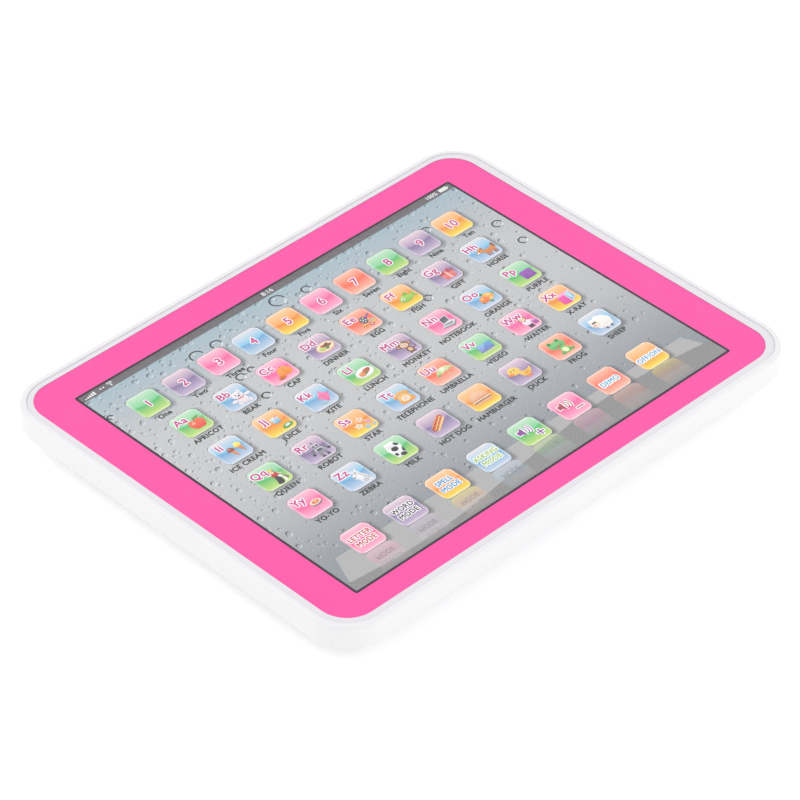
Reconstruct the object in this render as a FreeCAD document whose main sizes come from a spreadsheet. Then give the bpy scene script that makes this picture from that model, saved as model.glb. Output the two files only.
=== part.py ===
import FreeCAD, Part
import math
import os
import re

import Sketcher
from FreeCAD import Vector

# Kids toy tablet, lying on its flat back. X runs along the length, Y up the printed
# screen, Z out of the front face. The origin is the centre of the back. Millimetres.

SIZES = {
    # case: straight side wall on top, tapered back below
    "case_length": 241.8,
    "case_width": 186.8,
    "case_height": 18.0,
    "case_corner": 17.7,
    "side_height": 10.3,
    "rim_round": 1.4,
    "seam_round": 0.8,
    "shell_wall": 2.2,
    "back_inset": 15.2,
    "slope_inset": 13.0,
    "slope_start": 0.6,
    "seam_inset": 1.0,
    "tongue_height": 2.0,
    "tongue_wall": 1.6,
    "tongue_gap": 0.15,
    # front stack, from the film down to the deck
    "film_length": 236.4,
    "film_width": 181.4,
    "film_corner": 15.0,
    "film_thick": 0.25,
    "film_sunk": 0.2,
    "glue_thick": 0.15,
    "stack_gap": 0.15,
    "print_thick": 0.2,
    "guide_thick": 0.6,
    "layer_thick": 0.2,
    "deck_thick": 1.4,
    # pink border and printed screen
    "border_length": 230.2,
    "border_width": 176.2,
    "border_corner": 12.5,
    "border_x": -0.3,
    "border_y": 0.4,
    "screen_length": 198.0,
    "screen_width": 151.2,
    "screen_corner": 0.6,
    "screen_x": -0.7,
    "screen_y": -1.1,
    # keys
    "key_size": 13.5,
    "key_corner": 2.6,
    "key_gap": 0.12,
    "key_travel": 0.3,
    "key_rest_gap": 0.03,
    "number_first_x": -81.2,
    "number_pitch": 17.95,
    "number_row_y": 54.9,
    "picture_first_x": -77.5,
    "picture_pitch": 22.0,
    "picture_row_one_y": 34.9,
    "picture_row_two_y": 13.4,
    "picture_row_three_y": -7.8,
    "picture_row_four_y": -29.0,
    "function_first_x": -76.8,
    "function_pitch": 21.6,
    "function_row_y": -56.0,
    # screws that close the case
    "screw_post_x": 92.0,
    "screw_post_y": 66.0,
    "post_radius": 4.2,
    "post_height": 8.4,
    "screw_head": 2.9,
    "screw_head_thick": 1.8,
    "screw_shank": 1.2,
    "screw_sunk": 3.2,
    "screw_length": 8.6,
    "pillar_radius": 3.4,
    "thread_gap": 0.05,
    # battery bay, cells and contacts
    "bay_y": -30.0,
    "bay_length": 52.0,
    "bay_width": 33.6,
    "bay_wall": 1.2,
    "bay_ceiling": 13.3,
    "bay_floor": 4.0,
    "cell_radius": 5.25,
    "cell_length": 44.5,
    "cell_pitch": 11.0,
    "cell_level": 7.65,
    "contact_thick": 0.4,
    "contact_size": 8.4,
    "spring_wire": 0.35,
    "spring_pitch": 0.5,
    # battery door and its captive screw
    "door_left": -29.5,
    "door_right": 37.5,
    "door_width": 39.0,
    "door_thick": 1.6,
    "door_sunk": 0.15,
    "door_gap": 0.4,
    "door_recess": 1.9,
    "hinge_level": 1.2,
    "knuckle_length": 1.3,
    "hinge_pin": 0.6,
    "hinge_gap": 0.08,
    "hinge_room": 1.5,
    "hinge_reach": 1.8,
    "door_screw_x": 32.5,
    "door_boss": 3.6,
    "door_boss_top": 3.0,
    "door_post": 4.2,
    "door_screw_head": 2.5,
    "door_screw_shank": 1.05,
    "door_screw_travel": 2.5,
    "retainer_radius": 2.0,
    "retainer_thick": 0.4,
    # speaker, facing the back
    "speaker_x": -60.0,
    "speaker_y": 32.0,
    "speaker_radius": 20.0,
    "speaker_level": 2.6,
    "cone_travel": 0.4,
    "grille_hole": 0.9,
    "grille_pitch": 4.2,
    "clamp_reach": 25.0,
    # main board
    "board_x": 50.0,
    "board_y": 32.0,
    "board_length": 62.0,
    "board_width": 40.0,
    "board_thick": 1.6,
    "board_level": 8.0,
    "board_post": 2.6,
    "board_hole": 1.3,
    "board_margin": 4.0,
    "tail_width": 14.0,
    "tail_slot_y": 62.0,
    "tail_level": 10.65,
    # leads
    "lead_radius": 0.5,
    "lead_bend": 2.4,
    "lead_exit": 10.2,
}

doc = FreeCAD.newDocument("toy_tablet")
sheet = doc.addObject("Spreadsheet::Sheet", "sizes")
for row, (alias, number) in enumerate(SIZES.items(), start=1):
    sheet.set(f"A{row}", alias)
    sheet.set(f"B{row}", str(number))
    sheet.setAlias(f"B{row}", alias)
doc.recompute()

# Heights that follow from the stack, written as formulas over the sheet.
SEAM = "(case_height - side_height)"
FILM_BOTTOM = "(case_height - film_sunk - film_thick)"
PRINT_TOP = f"({FILM_BOTTOM} - glue_thick)"
GUIDE_TOP = f"({PRINT_TOP} - print_thick)"
UPPER_TOP = f"({GUIDE_TOP} - guide_thick)"
DECK_TOP = f"({UPPER_TOP} - 3 * layer_thick)"
DECK_BOTTOM = f"({DECK_TOP} - deck_thick)"
BOARD_TOP = "(board_level + board_thick)"

parts = {}


def formula(text):
    """Point each size named in a formula at its cell in the sheet."""
    def cell(found):
        word = found.group()
        return f"sizes.{word}" if word in SIZES else word
    return re.sub(r"[a-z][a-z0-9_]*", cell, str(text))


def value(text):
    """The number a formula gives now."""
    return float(sheet.evalExpression(formula(text)))


def bind(thing, formulas):
    """Bind properties of a document object to formulas."""
    for name, text in formulas.items():
        thing.setExpression(name, formula(text))


def keep(name, thing):
    """Name a finished sub-part; its label names its file."""
    thing.Label = name
    parts[name] = thing
    return thing


def place(thing, x, y, z):
    bind(thing, {"Placement.Base.x": x, "Placement.Base.y": y, "Placement.Base.z": z})
    return thing


# ---------------------------------------------------------------- primitives
def block(x, y, z, length, width, height):
    """A box centred on x, y, standing on z."""
    box = doc.addObject("Part::Box", "block")
    bind(box, {"Length": length, "Width": width, "Height": height})
    return place(box, f"({x}) - ({length}) / 2", f"({y}) - ({width}) / 2", z)


def rod(x, y, z, radius, height):
    """An upright cylinder standing on z."""
    cylinder = doc.addObject("Part::Cylinder", "rod")
    bind(cylinder, {"Radius": radius, "Height": height})
    return place(cylinder, x, y, z)


def rod_along(axis, x, y, z, radius, length):
    """A lying cylinder that starts at x, y, z and runs along +X or +Y."""
    cylinder = rod(x, y, z, radius, length)
    turn = {"X": (Vector(0, 1, 0), 90), "Y": (Vector(1, 0, 0), -90)}[axis]
    cylinder.Placement.Rotation = FreeCAD.Rotation(*turn)
    return cylinder


def ring(x, y, z, outer, inner, height):
    """An upright tube."""
    return cut(rod(x, y, z, outer, height), rod(x, y, f"({z}) - 1", inner, f"({height}) + 2"))


def fuse(shapes):
    joined = doc.addObject("Part::MultiFuse", "joined")
    joined.Shapes = shapes
    joined.Refine = True
    return joined


def cut(base, tool):
    taken = doc.addObject("Part::Cut", "taken")
    taken.Base = base
    taken.Tool = tool
    return taken


def group(shapes):
    """Separate solids kept as one sub-part."""
    together = doc.addObject("Part::Compound", "together")
    together.Links = shapes
    return together


# ---------------------------------------------------------------- bodies
def new_body(name):
    return keep(name, doc.addObject("PartDesign::Body", name))


def origin_item(body, role):
    return next(item for item in body.Origin.OriginFeatures if item.Role == role)


def new_sketch(body, level):
    """A sketch on the body's XY plane, raised to a level."""
    sketch = body.newObject("Sketcher::SketchObject", "sketch")
    sketch.AttachmentSupport = [(origin_item(body, "XY_Plane"), "")]
    sketch.MapMode = "FlatFace"
    bind(sketch, {"AttachmentOffset.Base.z": level})
    return sketch


def drive(sketch, kind, items, text):
    """A dimension in a sketch that follows a formula."""
    index = sketch.addConstraint(Sketcher.Constraint(kind, *items, value(text)))
    sketch.setExpression(f"Constraints[{index}]", formula(text))


def rounded_rectangle(sketch, x, y, length, width, corner):
    """Four lines and four tangent corner arcs, sized and placed by formulas."""
    half_x = value(length) / 2
    half_y = value(width) / 2
    bend = value(corner)
    centre = Vector(value(x), value(y), 0)
    corners = [(1, 1, 0), (-1, 1, 90), (-1, -1, 180), (1, -1, 270)]
    arcs = []
    for side_x, side_y, start in corners:
        middle = centre + Vector(side_x * (half_x - bend), side_y * (half_y - bend), 0)
        circle = Part.Circle(middle, Vector(0, 0, 1), bend)
        first = math.radians(start)
        arcs.append(sketch.addGeometry(Part.ArcOfCircle(circle, first, first + math.pi / 2), False))
    lines = []
    for number in range(4):
        start = sketch.Geometry[arcs[number]].EndPoint
        end = sketch.Geometry[arcs[(number + 1) % 4]].StartPoint
        lines.append(sketch.addGeometry(Part.LineSegment(start, end), False))
    for number in range(4):
        follower = arcs[(number + 1) % 4]
        sketch.addConstraint(Sketcher.Constraint("Tangent", arcs[number], 2, lines[number], 1))
        sketch.addConstraint(Sketcher.Constraint("Tangent", lines[number], 2, follower, 1))
    for number, kind in enumerate(["Horizontal", "Vertical", "Horizontal", "Vertical"]):
        sketch.addConstraint(Sketcher.Constraint(kind, lines[number]))
    for other in arcs[1:3]:
        sketch.addConstraint(Sketcher.Constraint("Equal", arcs[0], other))
    drive(sketch, "Radius", [arcs[0]], corner)
    drive(sketch, "DistanceX", [-1, 1, lines[1], 1], f"({x}) - ({length}) / 2")
    drive(sketch, "DistanceX", [-1, 1, lines[3], 1], f"({x}) + ({length}) / 2")
    drive(sketch, "DistanceY", [-1, 1, lines[0], 1], f"({y}) + ({width}) / 2")
    drive(sketch, "DistanceY", [-1, 1, lines[2], 1], f"({y}) - ({width}) / 2")


def circles(sketch, radius, centres):
    """Circles of one radius at a list of centre formulas."""
    for x, y in centres:
        middle = Vector(value(x), value(y), 0)
        index = sketch.addGeometry(Part.Circle(middle, Vector(0, 0, 1), value(radius)), False)
        drive(sketch, "Radius", [index], radius)
        drive(sketch, "DistanceX", [-1, 1, index, 3], x)
        drive(sketch, "DistanceY", [-1, 1, index, 3], y)


def pad(body, sketch, height):
    feature = body.newObject("PartDesign::Pad", "pad")
    feature.Profile = sketch
    bind(feature, {"Length": height})
    sketch.Visibility = False
    return feature


def pocket(body, sketch, depth, upward=False):
    """Cut down from a sketch, or up from it."""
    feature = body.newObject("PartDesign::Pocket", "pocket")
    feature.Profile = sketch
    feature.Reversed = upward
    bind(feature, {"Length": depth})
    return feature


def slab(body, level, height, x, y, length, width, corner):
    """Add a rounded plate."""
    sketch = new_sketch(body, level)
    rounded_rectangle(sketch, x, y, length, width, corner)
    return pad(body, sketch, height)


def hollow(body, level, height, x, y, length, width, corner):
    """Take out a rounded pocket from a level upward."""
    sketch = new_sketch(body, level)
    rounded_rectangle(sketch, x, y, length, width, corner)
    return pocket(body, sketch, height, upward=True)


def posts(body, level, height, radius, centres):
    sketch = new_sketch(body, level)
    circles(sketch, radius, centres)
    return pad(body, sketch, height)


def holes(body, level, height, radius, centres):
    sketch = new_sketch(body, level)
    circles(sketch, radius, centres)
    return pocket(body, sketch, height, upward=True)


def edges_at(shape, level, least_length=0.0):
    """Names of the edges that lie wholly at one height."""
    names = []
    for number, edge in enumerate(shape.Edges, start=1):
        box = edge.BoundBox
        if abs(box.ZMin - level) < 0.001 and abs(box.ZMax - level) < 0.001:
            if edge.Length > least_length:
                names.append(f"Edge{number}")
    return names


def fillet(body, base, level, radius):
    """Round every edge of the base that lies at a level."""
    doc.recompute()
    feature = body.newObject("PartDesign::Fillet", "fillet")
    feature.Base = (base, edges_at(base.Shape, value(level)))
    bind(feature, {"Radius": radius})
    return feature


def turned(name, outline, x, y):
    """A solid of revolution about an upright axis from straight radius, height points."""
    body = new_body(name)
    sketch = body.newObject("Sketcher::SketchObject", "profile")
    sketch.AttachmentSupport = [(origin_item(body, "XZ_Plane"), "")]
    sketch.MapMode = "FlatFace"
    points = [Vector(value(radius), value(height), 0) for radius, height in outline]
    count = len(points)
    lines = []
    for number in range(count):
        segment = Part.LineSegment(points[number], points[(number + 1) % count])
        lines.append(sketch.addGeometry(segment, False))
    for number in range(count):
        after = lines[(number + 1) % count]
        sketch.addConstraint(Sketcher.Constraint("Coincident", lines[number], 2, after, 1))
    for line, (radius, height) in zip(lines, outline):
        if value(radius) > 0:
            drive(sketch, "DistanceX", [-1, 1, line, 1], radius)
        else:
            sketch.addConstraint(Sketcher.Constraint("PointOnObject", line, 1, -2))
        drive(sketch, "DistanceY", [-1, 1, line, 1], height)
    feature = body.newObject("PartDesign::Revolution", "turned")
    feature.Profile = sketch
    feature.ReferenceAxis = (sketch, ["V_Axis"])
    feature.Angle = 360
    place(body, x, y, "0")
    return body


# ---------------------------------------------------------------- places of repeated things
CASE_SCREWS = [
    (f"{side_x} * screw_post_x", f"{side_y} * screw_post_y")
    for side_x in (-1, 0, 1)
    for side_y in (-1, 1)
]
BOARD_SCREWS = [
    (f"board_x + {side_x} * (board_length / 2 - board_margin)",
     f"board_y + {side_y} * (board_width / 2 - board_margin)")
    for side_x in (-1, 1)
    for side_y in (-1, 1)
]
CLAMP_SCREWS = [(f"speaker_x + {side} * clamp_reach", "speaker_y") for side in (-1, 1)]
DOOR_X = "((door_left + door_right) / 2)"
DOOR_LENGTH = "(door_right - door_left)"
DOOR_SCREW = [("door_screw_x", "bay_y")]
RETAINER_LEVEL = "(door_boss_top + 0.05 + door_screw_travel)"


# ---------------------------------------------------------------- front of the case
def front_frame():
    """White front shell: side walls and rim, a deck under the keys, screw pillars."""
    body = new_body("front_frame")
    outer = slab(body, SEAM, "side_height", "0", "0", "case_length", "case_width", "case_corner")
    rim = fillet(body, outer, "case_height", "rim_round")
    fillet(body, rim, SEAM, "seam_round")
    inner = [f"{size} - 2 * shell_wall" for size in ("case_length", "case_width")]
    hollow(body, SEAM, f"{DECK_BOTTOM} - {SEAM}", "0", "0", *inner, "case_corner - shell_wall")
    hollow(body, FILM_BOTTOM, "film_thick + film_sunk + 1", "0", "0",
           "film_length + 2 * stack_gap", "film_width + 2 * stack_gap", "film_corner")
    hollow(body, DECK_TOP, f"{FILM_BOTTOM} - {DECK_TOP} + 0.1", "border_x", "border_y",
           "border_length + 2 * stack_gap", "border_width + 2 * stack_gap", "border_corner")
    hollow(body, f"{DECK_BOTTOM} - 1", "deck_thick + 2", "board_x", "tail_slot_y",
           "tail_width + 1.6", "2.4", "1.1")
    pillar_bottom = "(post_height + 0.15)"
    posts(body, pillar_bottom, f"{DECK_BOTTOM} + 0.4 - {pillar_bottom}", "pillar_radius", CASE_SCREWS)
    holes(body, "post_height - 1", f"{DECK_BOTTOM} - post_height + 0.6",
          "screw_shank + thread_gap", CASE_SCREWS)


def rear_casing():
    """White back shell: tapered sides, battery bay, speaker seat and grille, board posts."""
    body = new_body("rear_casing")
    loft(body, "PartDesign::AdditiveLoft",
         [("0", "back_inset"), ("slope_start", "slope_inset"), (SEAM, "seam_inset")])
    loft(body, "PartDesign::SubtractiveLoft",
         [("shell_wall", "slope_inset + 1"), (f"{SEAM} + 0.01", "seam_inset + shell_wall")])
    tongue()
    slab(body, "shell_wall - 0.1", "bay_floor - shell_wall + 0.1", DOOR_X, "bay_y",
         f"{DOOR_LENGTH} + 12", "door_width + 10", "3")
    slab(body, "bay_floor - 0.1", "bay_ceiling + bay_wall - bay_floor + 0.1", "0", "bay_y",
         "bay_length + 2 * bay_wall", "bay_width + 2 * bay_wall", "1.2")
    posts(body, "bay_floor - 0.1", "6", "door_post", DOOR_SCREW)
    posts(body, "shell_wall - 0.1", "post_height - shell_wall + 0.1", "post_radius", CASE_SCREWS)
    posts(body, "shell_wall - 0.1", "board_level - shell_wall + 0.1", "board_post", BOARD_SCREWS)
    posts(body, "shell_wall - 0.1", "speaker_level + 0.85 - shell_wall + 0.1", "board_post", CLAMP_SCREWS)
    speaker = [("speaker_x", "speaker_y")]
    posts(body, "shell_wall - 0.1", "speaker_level + 0.8 - shell_wall + 0.1", "speaker_radius + 1.6", speaker)
    holes(body, "speaker_level", "3", "speaker_radius + 0.2", speaker)
    holes(body, "shell_wall", "3", "speaker_radius - 2", speaker)
    hollow(body, "-1", "1 + door_recess", f"{DOOR_X} - (hinge_room - door_gap) / 2", "bay_y",
           f"{DOOR_LENGTH} + door_gap + hinge_room", "door_width + 2 * door_gap", "1")
    hollow(body, "0", "bay_ceiling", "0", "bay_y", "bay_length", "bay_width", "0.6")
    holes(body, "door_recess - 0.5", "door_boss_top + 0.3 - door_recess + 0.5", "door_boss + 0.5", DOOR_SCREW)
    holes(body, "door_recess", f"{RETAINER_LEVEL} + retainer_thick + 0.15 - door_recess",
          "retainer_radius + 0.5", DOOR_SCREW)
    holes(body, "door_recess", "7", "door_screw_shank + 0.4", DOOR_SCREW)
    holes(body, "-1", "1 + screw_sunk + screw_head_thick", "screw_head + 0.4", CASE_SCREWS)
    holes(body, "0", "post_height + 1", "screw_shank + 0.4", CASE_SCREWS)
    holes(body, "shell_wall + 0.5", "board_level", "0.95", BOARD_SCREWS)
    holes(body, "0.8", "speaker_level + 3", "0.95", CLAMP_SCREWS)
    side_holes(body, "XZ_Plane", "-(bay_y - door_width / 2 - hinge_reach - 0.4)",
               "door_width + 2 * hinge_reach + 0.8", "hinge_pin + hinge_gap",
               [("door_left", "hinge_level")])
    side_holes(body, "YZ_Plane", "bay_length / 2 + bay_wall + 1", "bay_length + 2 * bay_wall + 2",
               "lead_radius + 0.1",
               [(f"bay_y + {side} * cell_pitch", "lead_exit") for side in (-1, 1)])
    grille(body)


def loft(body, kind, stations):
    """A tapered block or hollow through rounded outlines inset from the case."""
    outlines = []
    for level, inset in stations:
        sketch = new_sketch(body, level)
        rounded_rectangle(sketch, "0", "0", f"case_length - 2 * ({inset})",
                          f"case_width - 2 * ({inset})", f"case_corner - ({inset})")
        outlines.append(sketch)
    feature = body.newObject(kind, "taper")
    feature.Profile = outlines[0]
    feature.Sections = outlines[1:]
    feature.Ruled = True


def tongue():
    """Lip of the back shell that stands inside the front shell's wall."""
    body = parts["rear_casing"]
    sketch = new_sketch(body, f"{SEAM} - 0.4")
    for inset in ("shell_wall + tongue_gap", "shell_wall + tongue_gap + tongue_wall"):
        rounded_rectangle(sketch, "0", "0", f"case_length - 2 * ({inset})",
                          f"case_width - 2 * ({inset})", f"case_corner - ({inset})")
    pad(body, sketch, "tongue_height + 0.4")


def side_holes(body, plane, offset, depth, radius, centres):
    """Round holes that run sideways, cut from one side through to the other."""
    sketch = body.newObject("Sketcher::SketchObject", "side")
    sketch.AttachmentSupport = [(origin_item(body, plane), "")]
    sketch.MapMode = "FlatFace"
    bind(sketch, {"AttachmentOffset.Base.z": offset})
    circles(sketch, radius, centres)
    pocket(body, sketch, depth)


def grille(body):
    """Round holes under the speaker in rings about its centre."""
    centres = [("speaker_x", "speaker_y")]
    for turn, count in ((1, 6), (2, 12), (3, 18)):
        for number in range(count):
            angle = f"{360 / count * number} deg"
            centres.append((f"speaker_x + {turn} * grille_pitch * cos({angle})",
                            f"speaker_y + {turn} * grille_pitch * sin({angle})"))
    holes(body, "-1", "shell_wall + 3", "grille_hole", centres)


def plates():
    """The flat layers of the front: film, prints, key guide and membrane."""
    film = new_body("front_film")
    slab(film, FILM_BOTTOM, "film_thick", "0", "0", "film_length", "film_width", "film_corner")
    screen = ["screen_x", "screen_y", "screen_length", "screen_width", "screen_corner"]
    border = new_body("border_print")
    outline = ["border_x", "border_y", "border_length", "border_width", "border_corner"]
    slab(border, GUIDE_TOP, "print_thick", *outline)
    hollow(border, f"{GUIDE_TOP} - 1", "3", *screen)
    for name, level, thick, gap in (("screen_print", GUIDE_TOP, "print_thick", "key_gap"),
                                    ("key_guide", UPPER_TOP, "guide_thick", "2 * key_gap")):
        body = new_body(name)
        slab(body, level, thick, *(screen if name == "screen_print" else outline))
        for keys in KEY_ROWS:
            key_windows(body, f"{level} - 1", keys, gap)
    for number, name in enumerate(("membrane_lower", "membrane_spacer", "membrane_upper")):
        body = new_body(name)
        level = f"{DECK_TOP} + {number} * layer_thick"
        slab(body, level, "layer_thick", *outline)
        if name == "membrane_spacer":
            for keys in KEY_ROWS:
                spot_windows(body, f"{level} - 1", keys)


# ---------------------------------------------------------------- keys
# Each row: its height and first key from the screen's centre, its pitch and number of keys.
KEY_ROWS = [{"y": "number_row_y", "x": "number_first_x", "pitch": "number_pitch", "count": 10}]
for row_name in ("one", "two", "three", "four"):
    KEY_ROWS.append({"y": f"picture_row_{row_name}_y", "x": "picture_first_x",
                     "pitch": "picture_pitch", "count": 8})
KEY_ROWS.append({"y": "function_row_y", "x": "function_first_x", "pitch": "function_pitch", "count": 8})
FUNCTION_KEYS = ["letter_mode_key", "word_mode_key", "spell_mode_key", "asking_mode_key",
                 "volume_up_key", "volume_down_key", "demo_key", "power_key"]


def repeat_along_row(body, feature, keys):
    """Repeat a feature at each key of a row."""
    pattern = body.newObject("PartDesign::LinearPattern", "row")
    pattern.Originals = [feature]
    pattern.Direction = (origin_item(body, "X_Axis"), [""])
    pattern.Occurrences = keys["count"]
    bind(pattern, {"Length": f"{keys['pitch']} * {keys['count'] - 1}"})
    body.Tip = pattern


def key_windows(body, level, keys, gap):
    """Square windows around the keys of one row."""
    size = f"key_size + 2 * {gap}"
    window = hollow(body, level, "3", f"screen_x + {keys['x']}", f"screen_y + {keys['y']}",
                    size, size, "key_corner")
    repeat_along_row(body, window, keys)


def spot_windows(body, level, keys):
    """Round contact windows of the membrane's spacer under one row."""
    centre = [(f"screen_x + {keys['x']}", f"screen_y + {keys['y']}")]
    repeat_along_row(body, holes(body, level, "3", "key_size / 3", centre), keys)


def key_body(name, keys, first, count):
    """One key pad, or a row of separate pads that share a sub-part."""
    body = new_body(name)
    body.AllowCompound = True
    level = f"{UPPER_TOP} + key_travel + key_rest_gap"
    x = f"screen_x + {keys['x']} + {first} * {keys['pitch']}"
    key = slab(body, level, f"{PRINT_TOP} - ({level})", x, f"screen_y + {keys['y']}",
               "key_size", "key_size", "key_corner")
    if count > 1:
        repeat_along_row(body, key, {**keys, "count": count})


def all_keys():
    numbers = KEY_ROWS[0]
    for index in range(numbers["count"]):
        key_body(f"number_key_{index + 1}", numbers, index, 1)
    for index, keys in enumerate(KEY_ROWS[1:5], start=1):
        key_body(f"picture_keys_row_{index}", keys, 0, keys["count"])
    for index, name in enumerate(FUNCTION_KEYS):
        key_body(name, KEY_ROWS[5], index, 1)


# ---------------------------------------------------------------- battery bay
def battery_door():
    """Door plate with hinge pins at its left edge and a screw boss at its right."""
    top = "door_sunk + door_thick"
    plate = block(f"{DOOR_X} + knuckle_length / 2", "bay_y", "door_sunk",
                  f"{DOOR_LENGTH} - knuckle_length", "door_width", "door_thick")
    knuckle = block("door_left + knuckle_length / 2", "bay_y", "hinge_level - hinge_pin - 0.2",
                    "knuckle_length + 0.8", "door_width", "2 * hinge_pin + 0.05")
    pin = rod_along("Y", "door_left", "bay_y - door_width / 2 - hinge_reach", "hinge_level",
                    "hinge_pin", "door_width + 2 * hinge_reach")
    boss = rod("door_screw_x", "bay_y", "door_sunk", "door_boss", "door_boss_top - door_sunk")
    ribs = [block("0", f"bay_y + {side} * 11", f"{top} - 0.1", "44", "1", "0.45") for side in (-1, 0, 1)]
    solid = fuse([plate, knuckle, pin, boss] + ribs)
    seat = rod("door_screw_x", "bay_y", "-1", "door_screw_head + 0.3", "1 + 1.5")
    bore = rod("door_screw_x", "bay_y", "-1", "door_screw_shank + 0.25", "6")
    grip = [block(f"door_left + {6 + 2 * step}", "bay_y", "-1", "0.8", "16", "1 + door_sunk + 0.35")
            for step in range(4)]
    keep("battery_door", cut(solid, fuse([seat, bore] + grip)))


def door_screw():
    """Captive cross-head screw."""
    head = rod("door_screw_x", "bay_y", "0.35", "door_screw_head", "1.1")
    shank = rod("door_screw_x", "bay_y", "1.4", "door_screw_shank", "7.1")
    slots = [block("door_screw_x", "bay_y", "-0.35", *size, "1.3")
             for size in (("3", "0.7"), ("0.7", "3"))]
    keep("door_screw", cut(fuse([head, shank]), fuse(slots)))
    washer = ring("door_screw_x", "bay_y", RETAINER_LEVEL, "retainer_radius",
                  "door_screw_shank + 0.05", "retainer_thick")
    keep("screw_retainer", washer)


def battery_cells():
    """Three AAA cells side by side, with alternate ends forward."""
    for number in range(3):
        y = f"bay_y + {number - 1} * cell_pitch"
        forward = 1 if number % 2 == 0 else -1
        start = f"{forward} * 1.9 - cell_length / 2"
        can = rod_along("X", f"{start} + {0 if forward > 0 else 1}", y, "cell_level",
                        "cell_radius", "cell_length - 1")
        nub_start = f"{start} + cell_length - 1.1" if forward > 0 else start
        nub = rod_along("X", nub_start, y, "cell_level", "1.9", "1.1")
        keep(f"battery_cell_{number + 1}", fuse([can, nub]))


def contact_plate(side, y, width):
    """A contact plate standing against the bay's end wall."""
    x = f"{side} * (bay_length / 2 - contact_thick / 2 - 0.05)"
    return block(x, y, "cell_level - contact_size / 2", "contact_thick", width, "contact_size")


def contact_spring(side, y):
    """A conical spring of touching coils on a contact plate."""
    coils = []
    for turn in range(6):
        coil = doc.addObject("Part::Torus", "coil")
        bind(coil, {"Radius1": f"3.4 - {turn} * 0.34", "Radius2": "spring_wire"})
        place(coil, f"{side} * (bay_length / 2 - contact_thick - 0.3 - {turn} * spring_pitch)",
              y, "cell_level")
        coil.Placement.Rotation = FreeCAD.Rotation(Vector(0, 1, 0), 90)
        coils.append(coil)
    return coils


def contacts():
    """Single plates at the ends of the series and bridges between neighbouring cells."""
    rows = [f"bay_y + {step} * cell_pitch" for step in (-1, 0, 1)]
    negative = [contact_plate(-1, rows[0], "contact_size")] + contact_spring(-1, rows[0])
    keep("contact_negative", fuse(negative))
    keep("contact_positive", contact_plate(1, rows[2], "contact_size"))
    for name, side, pair, sprung in (("contact_bridge_1", 1, rows[:2], rows[1]),
                                     ("contact_bridge_2", -1, rows[1:], rows[2])):
        middle = f"({pair[0]} + {pair[1]}) / 2"
        plate = contact_plate(side, middle, "contact_size + cell_pitch")
        keep(name, fuse([plate] + contact_spring(side, sprung)))


# ---------------------------------------------------------------- screws
def screws(name, centres, head_level, head, head_thick, shank, length, up):
    """Cross-head screws, head below the shank when up is true."""
    made = []
    for x, y in centres:
        if up:
            base = rod(x, y, head_level, head, head_thick)
            stem = rod(x, y, f"{head_level} + {head_thick} - 0.05", shank, length)
            slot_level = f"{head_level} - 0.2"
        else:
            base = rod(x, y, head_level, head, head_thick)
            stem = rod(x, y, f"{head_level} + 0.05 - ({length})", shank, length)
            slot_level = f"{head_level} + {head_thick} - 0.8"
        slots = [block(x, y, slot_level, *size, "1")
                 for size in ((f"{head} * 1.2", "0.6"), ("0.6", f"{head} * 1.2"))]
        made.append(cut(fuse([base, stem]), fuse(slots)))
    keep(name, group(made))


# ---------------------------------------------------------------- speaker
def speaker():
    """Small round speaker that faces the back: basket, cone, magnet, yoke and clamp."""
    base = "speaker_level"
    outer = "speaker_radius"
    cup = f"{outer} - 2"
    turned("speaker_basket", [
        (f"{cup} - 0.6", base), (outer, base), (outer, f"{base} + 0.8"), (cup, f"{base} + 0.8"),
        (cup, f"{base} + 4.4"), ("5", f"{base} + 4.4"), ("5", f"{base} + 3.8"),
        (f"{cup} - 0.6", f"{base} + 3.8")], "speaker_x", "speaker_y")
    turned("speaker_surround", [
        (f"{cup} - 2", f"{base} + 0.1"), (f"{cup} - 0.7", f"{base} + 0.1"),
        (f"{cup} - 0.7", f"{base} + 0.5"), (f"{cup} - 2", f"{base} + 0.5")],
        "speaker_x", "speaker_y")
    turned("speaker_cone", [
        ("0", f"{base} + 1.9"), ("4.3", f"{base} + 2.3"), (f"{cup} - 2.3", f"{base} + 0.5"),
        (f"{cup} - 2.3", f"{base} + 0.9"), ("4.3", f"{base} + 2.8"), ("4.3", f"{base} + 6.2"),
        ("3.9", f"{base} + 6.2"), ("3.9", f"{base} + 2.7"), ("0", f"{base} + 2.3")],
        "speaker_x", "speaker_y")
    keep("speaker_magnet", ring("speaker_x", "speaker_y", f"{base} + 4.4", "9", "4.8", "2.6"))
    turned("speaker_yoke", [
        ("0", f"{base} + 4.4"), ("3.4", f"{base} + 4.4"), ("3.4", f"{base} + 7"),
        ("9", f"{base} + 7"), ("9", f"{base} + 7.8"), ("0", f"{base} + 7.8")],
        "speaker_x", "speaker_y")
    clamp = fuse([rod("speaker_x", "speaker_y", f"{base} + 0.85", "speaker_radius", "1.1"),
                  block("speaker_x", "speaker_y", f"{base} + 0.85", "2 * clamp_reach + 6", "6", "1.1")])
    opening = rod("speaker_x", "speaker_y", base, f"{cup} + 0.3", "4")
    bores = [rod(x, y, base, "1.1", "4") for x, y in CLAMP_SCREWS]
    keep("speaker_clamp", cut(clamp, fuse([opening] + bores)))


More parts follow.
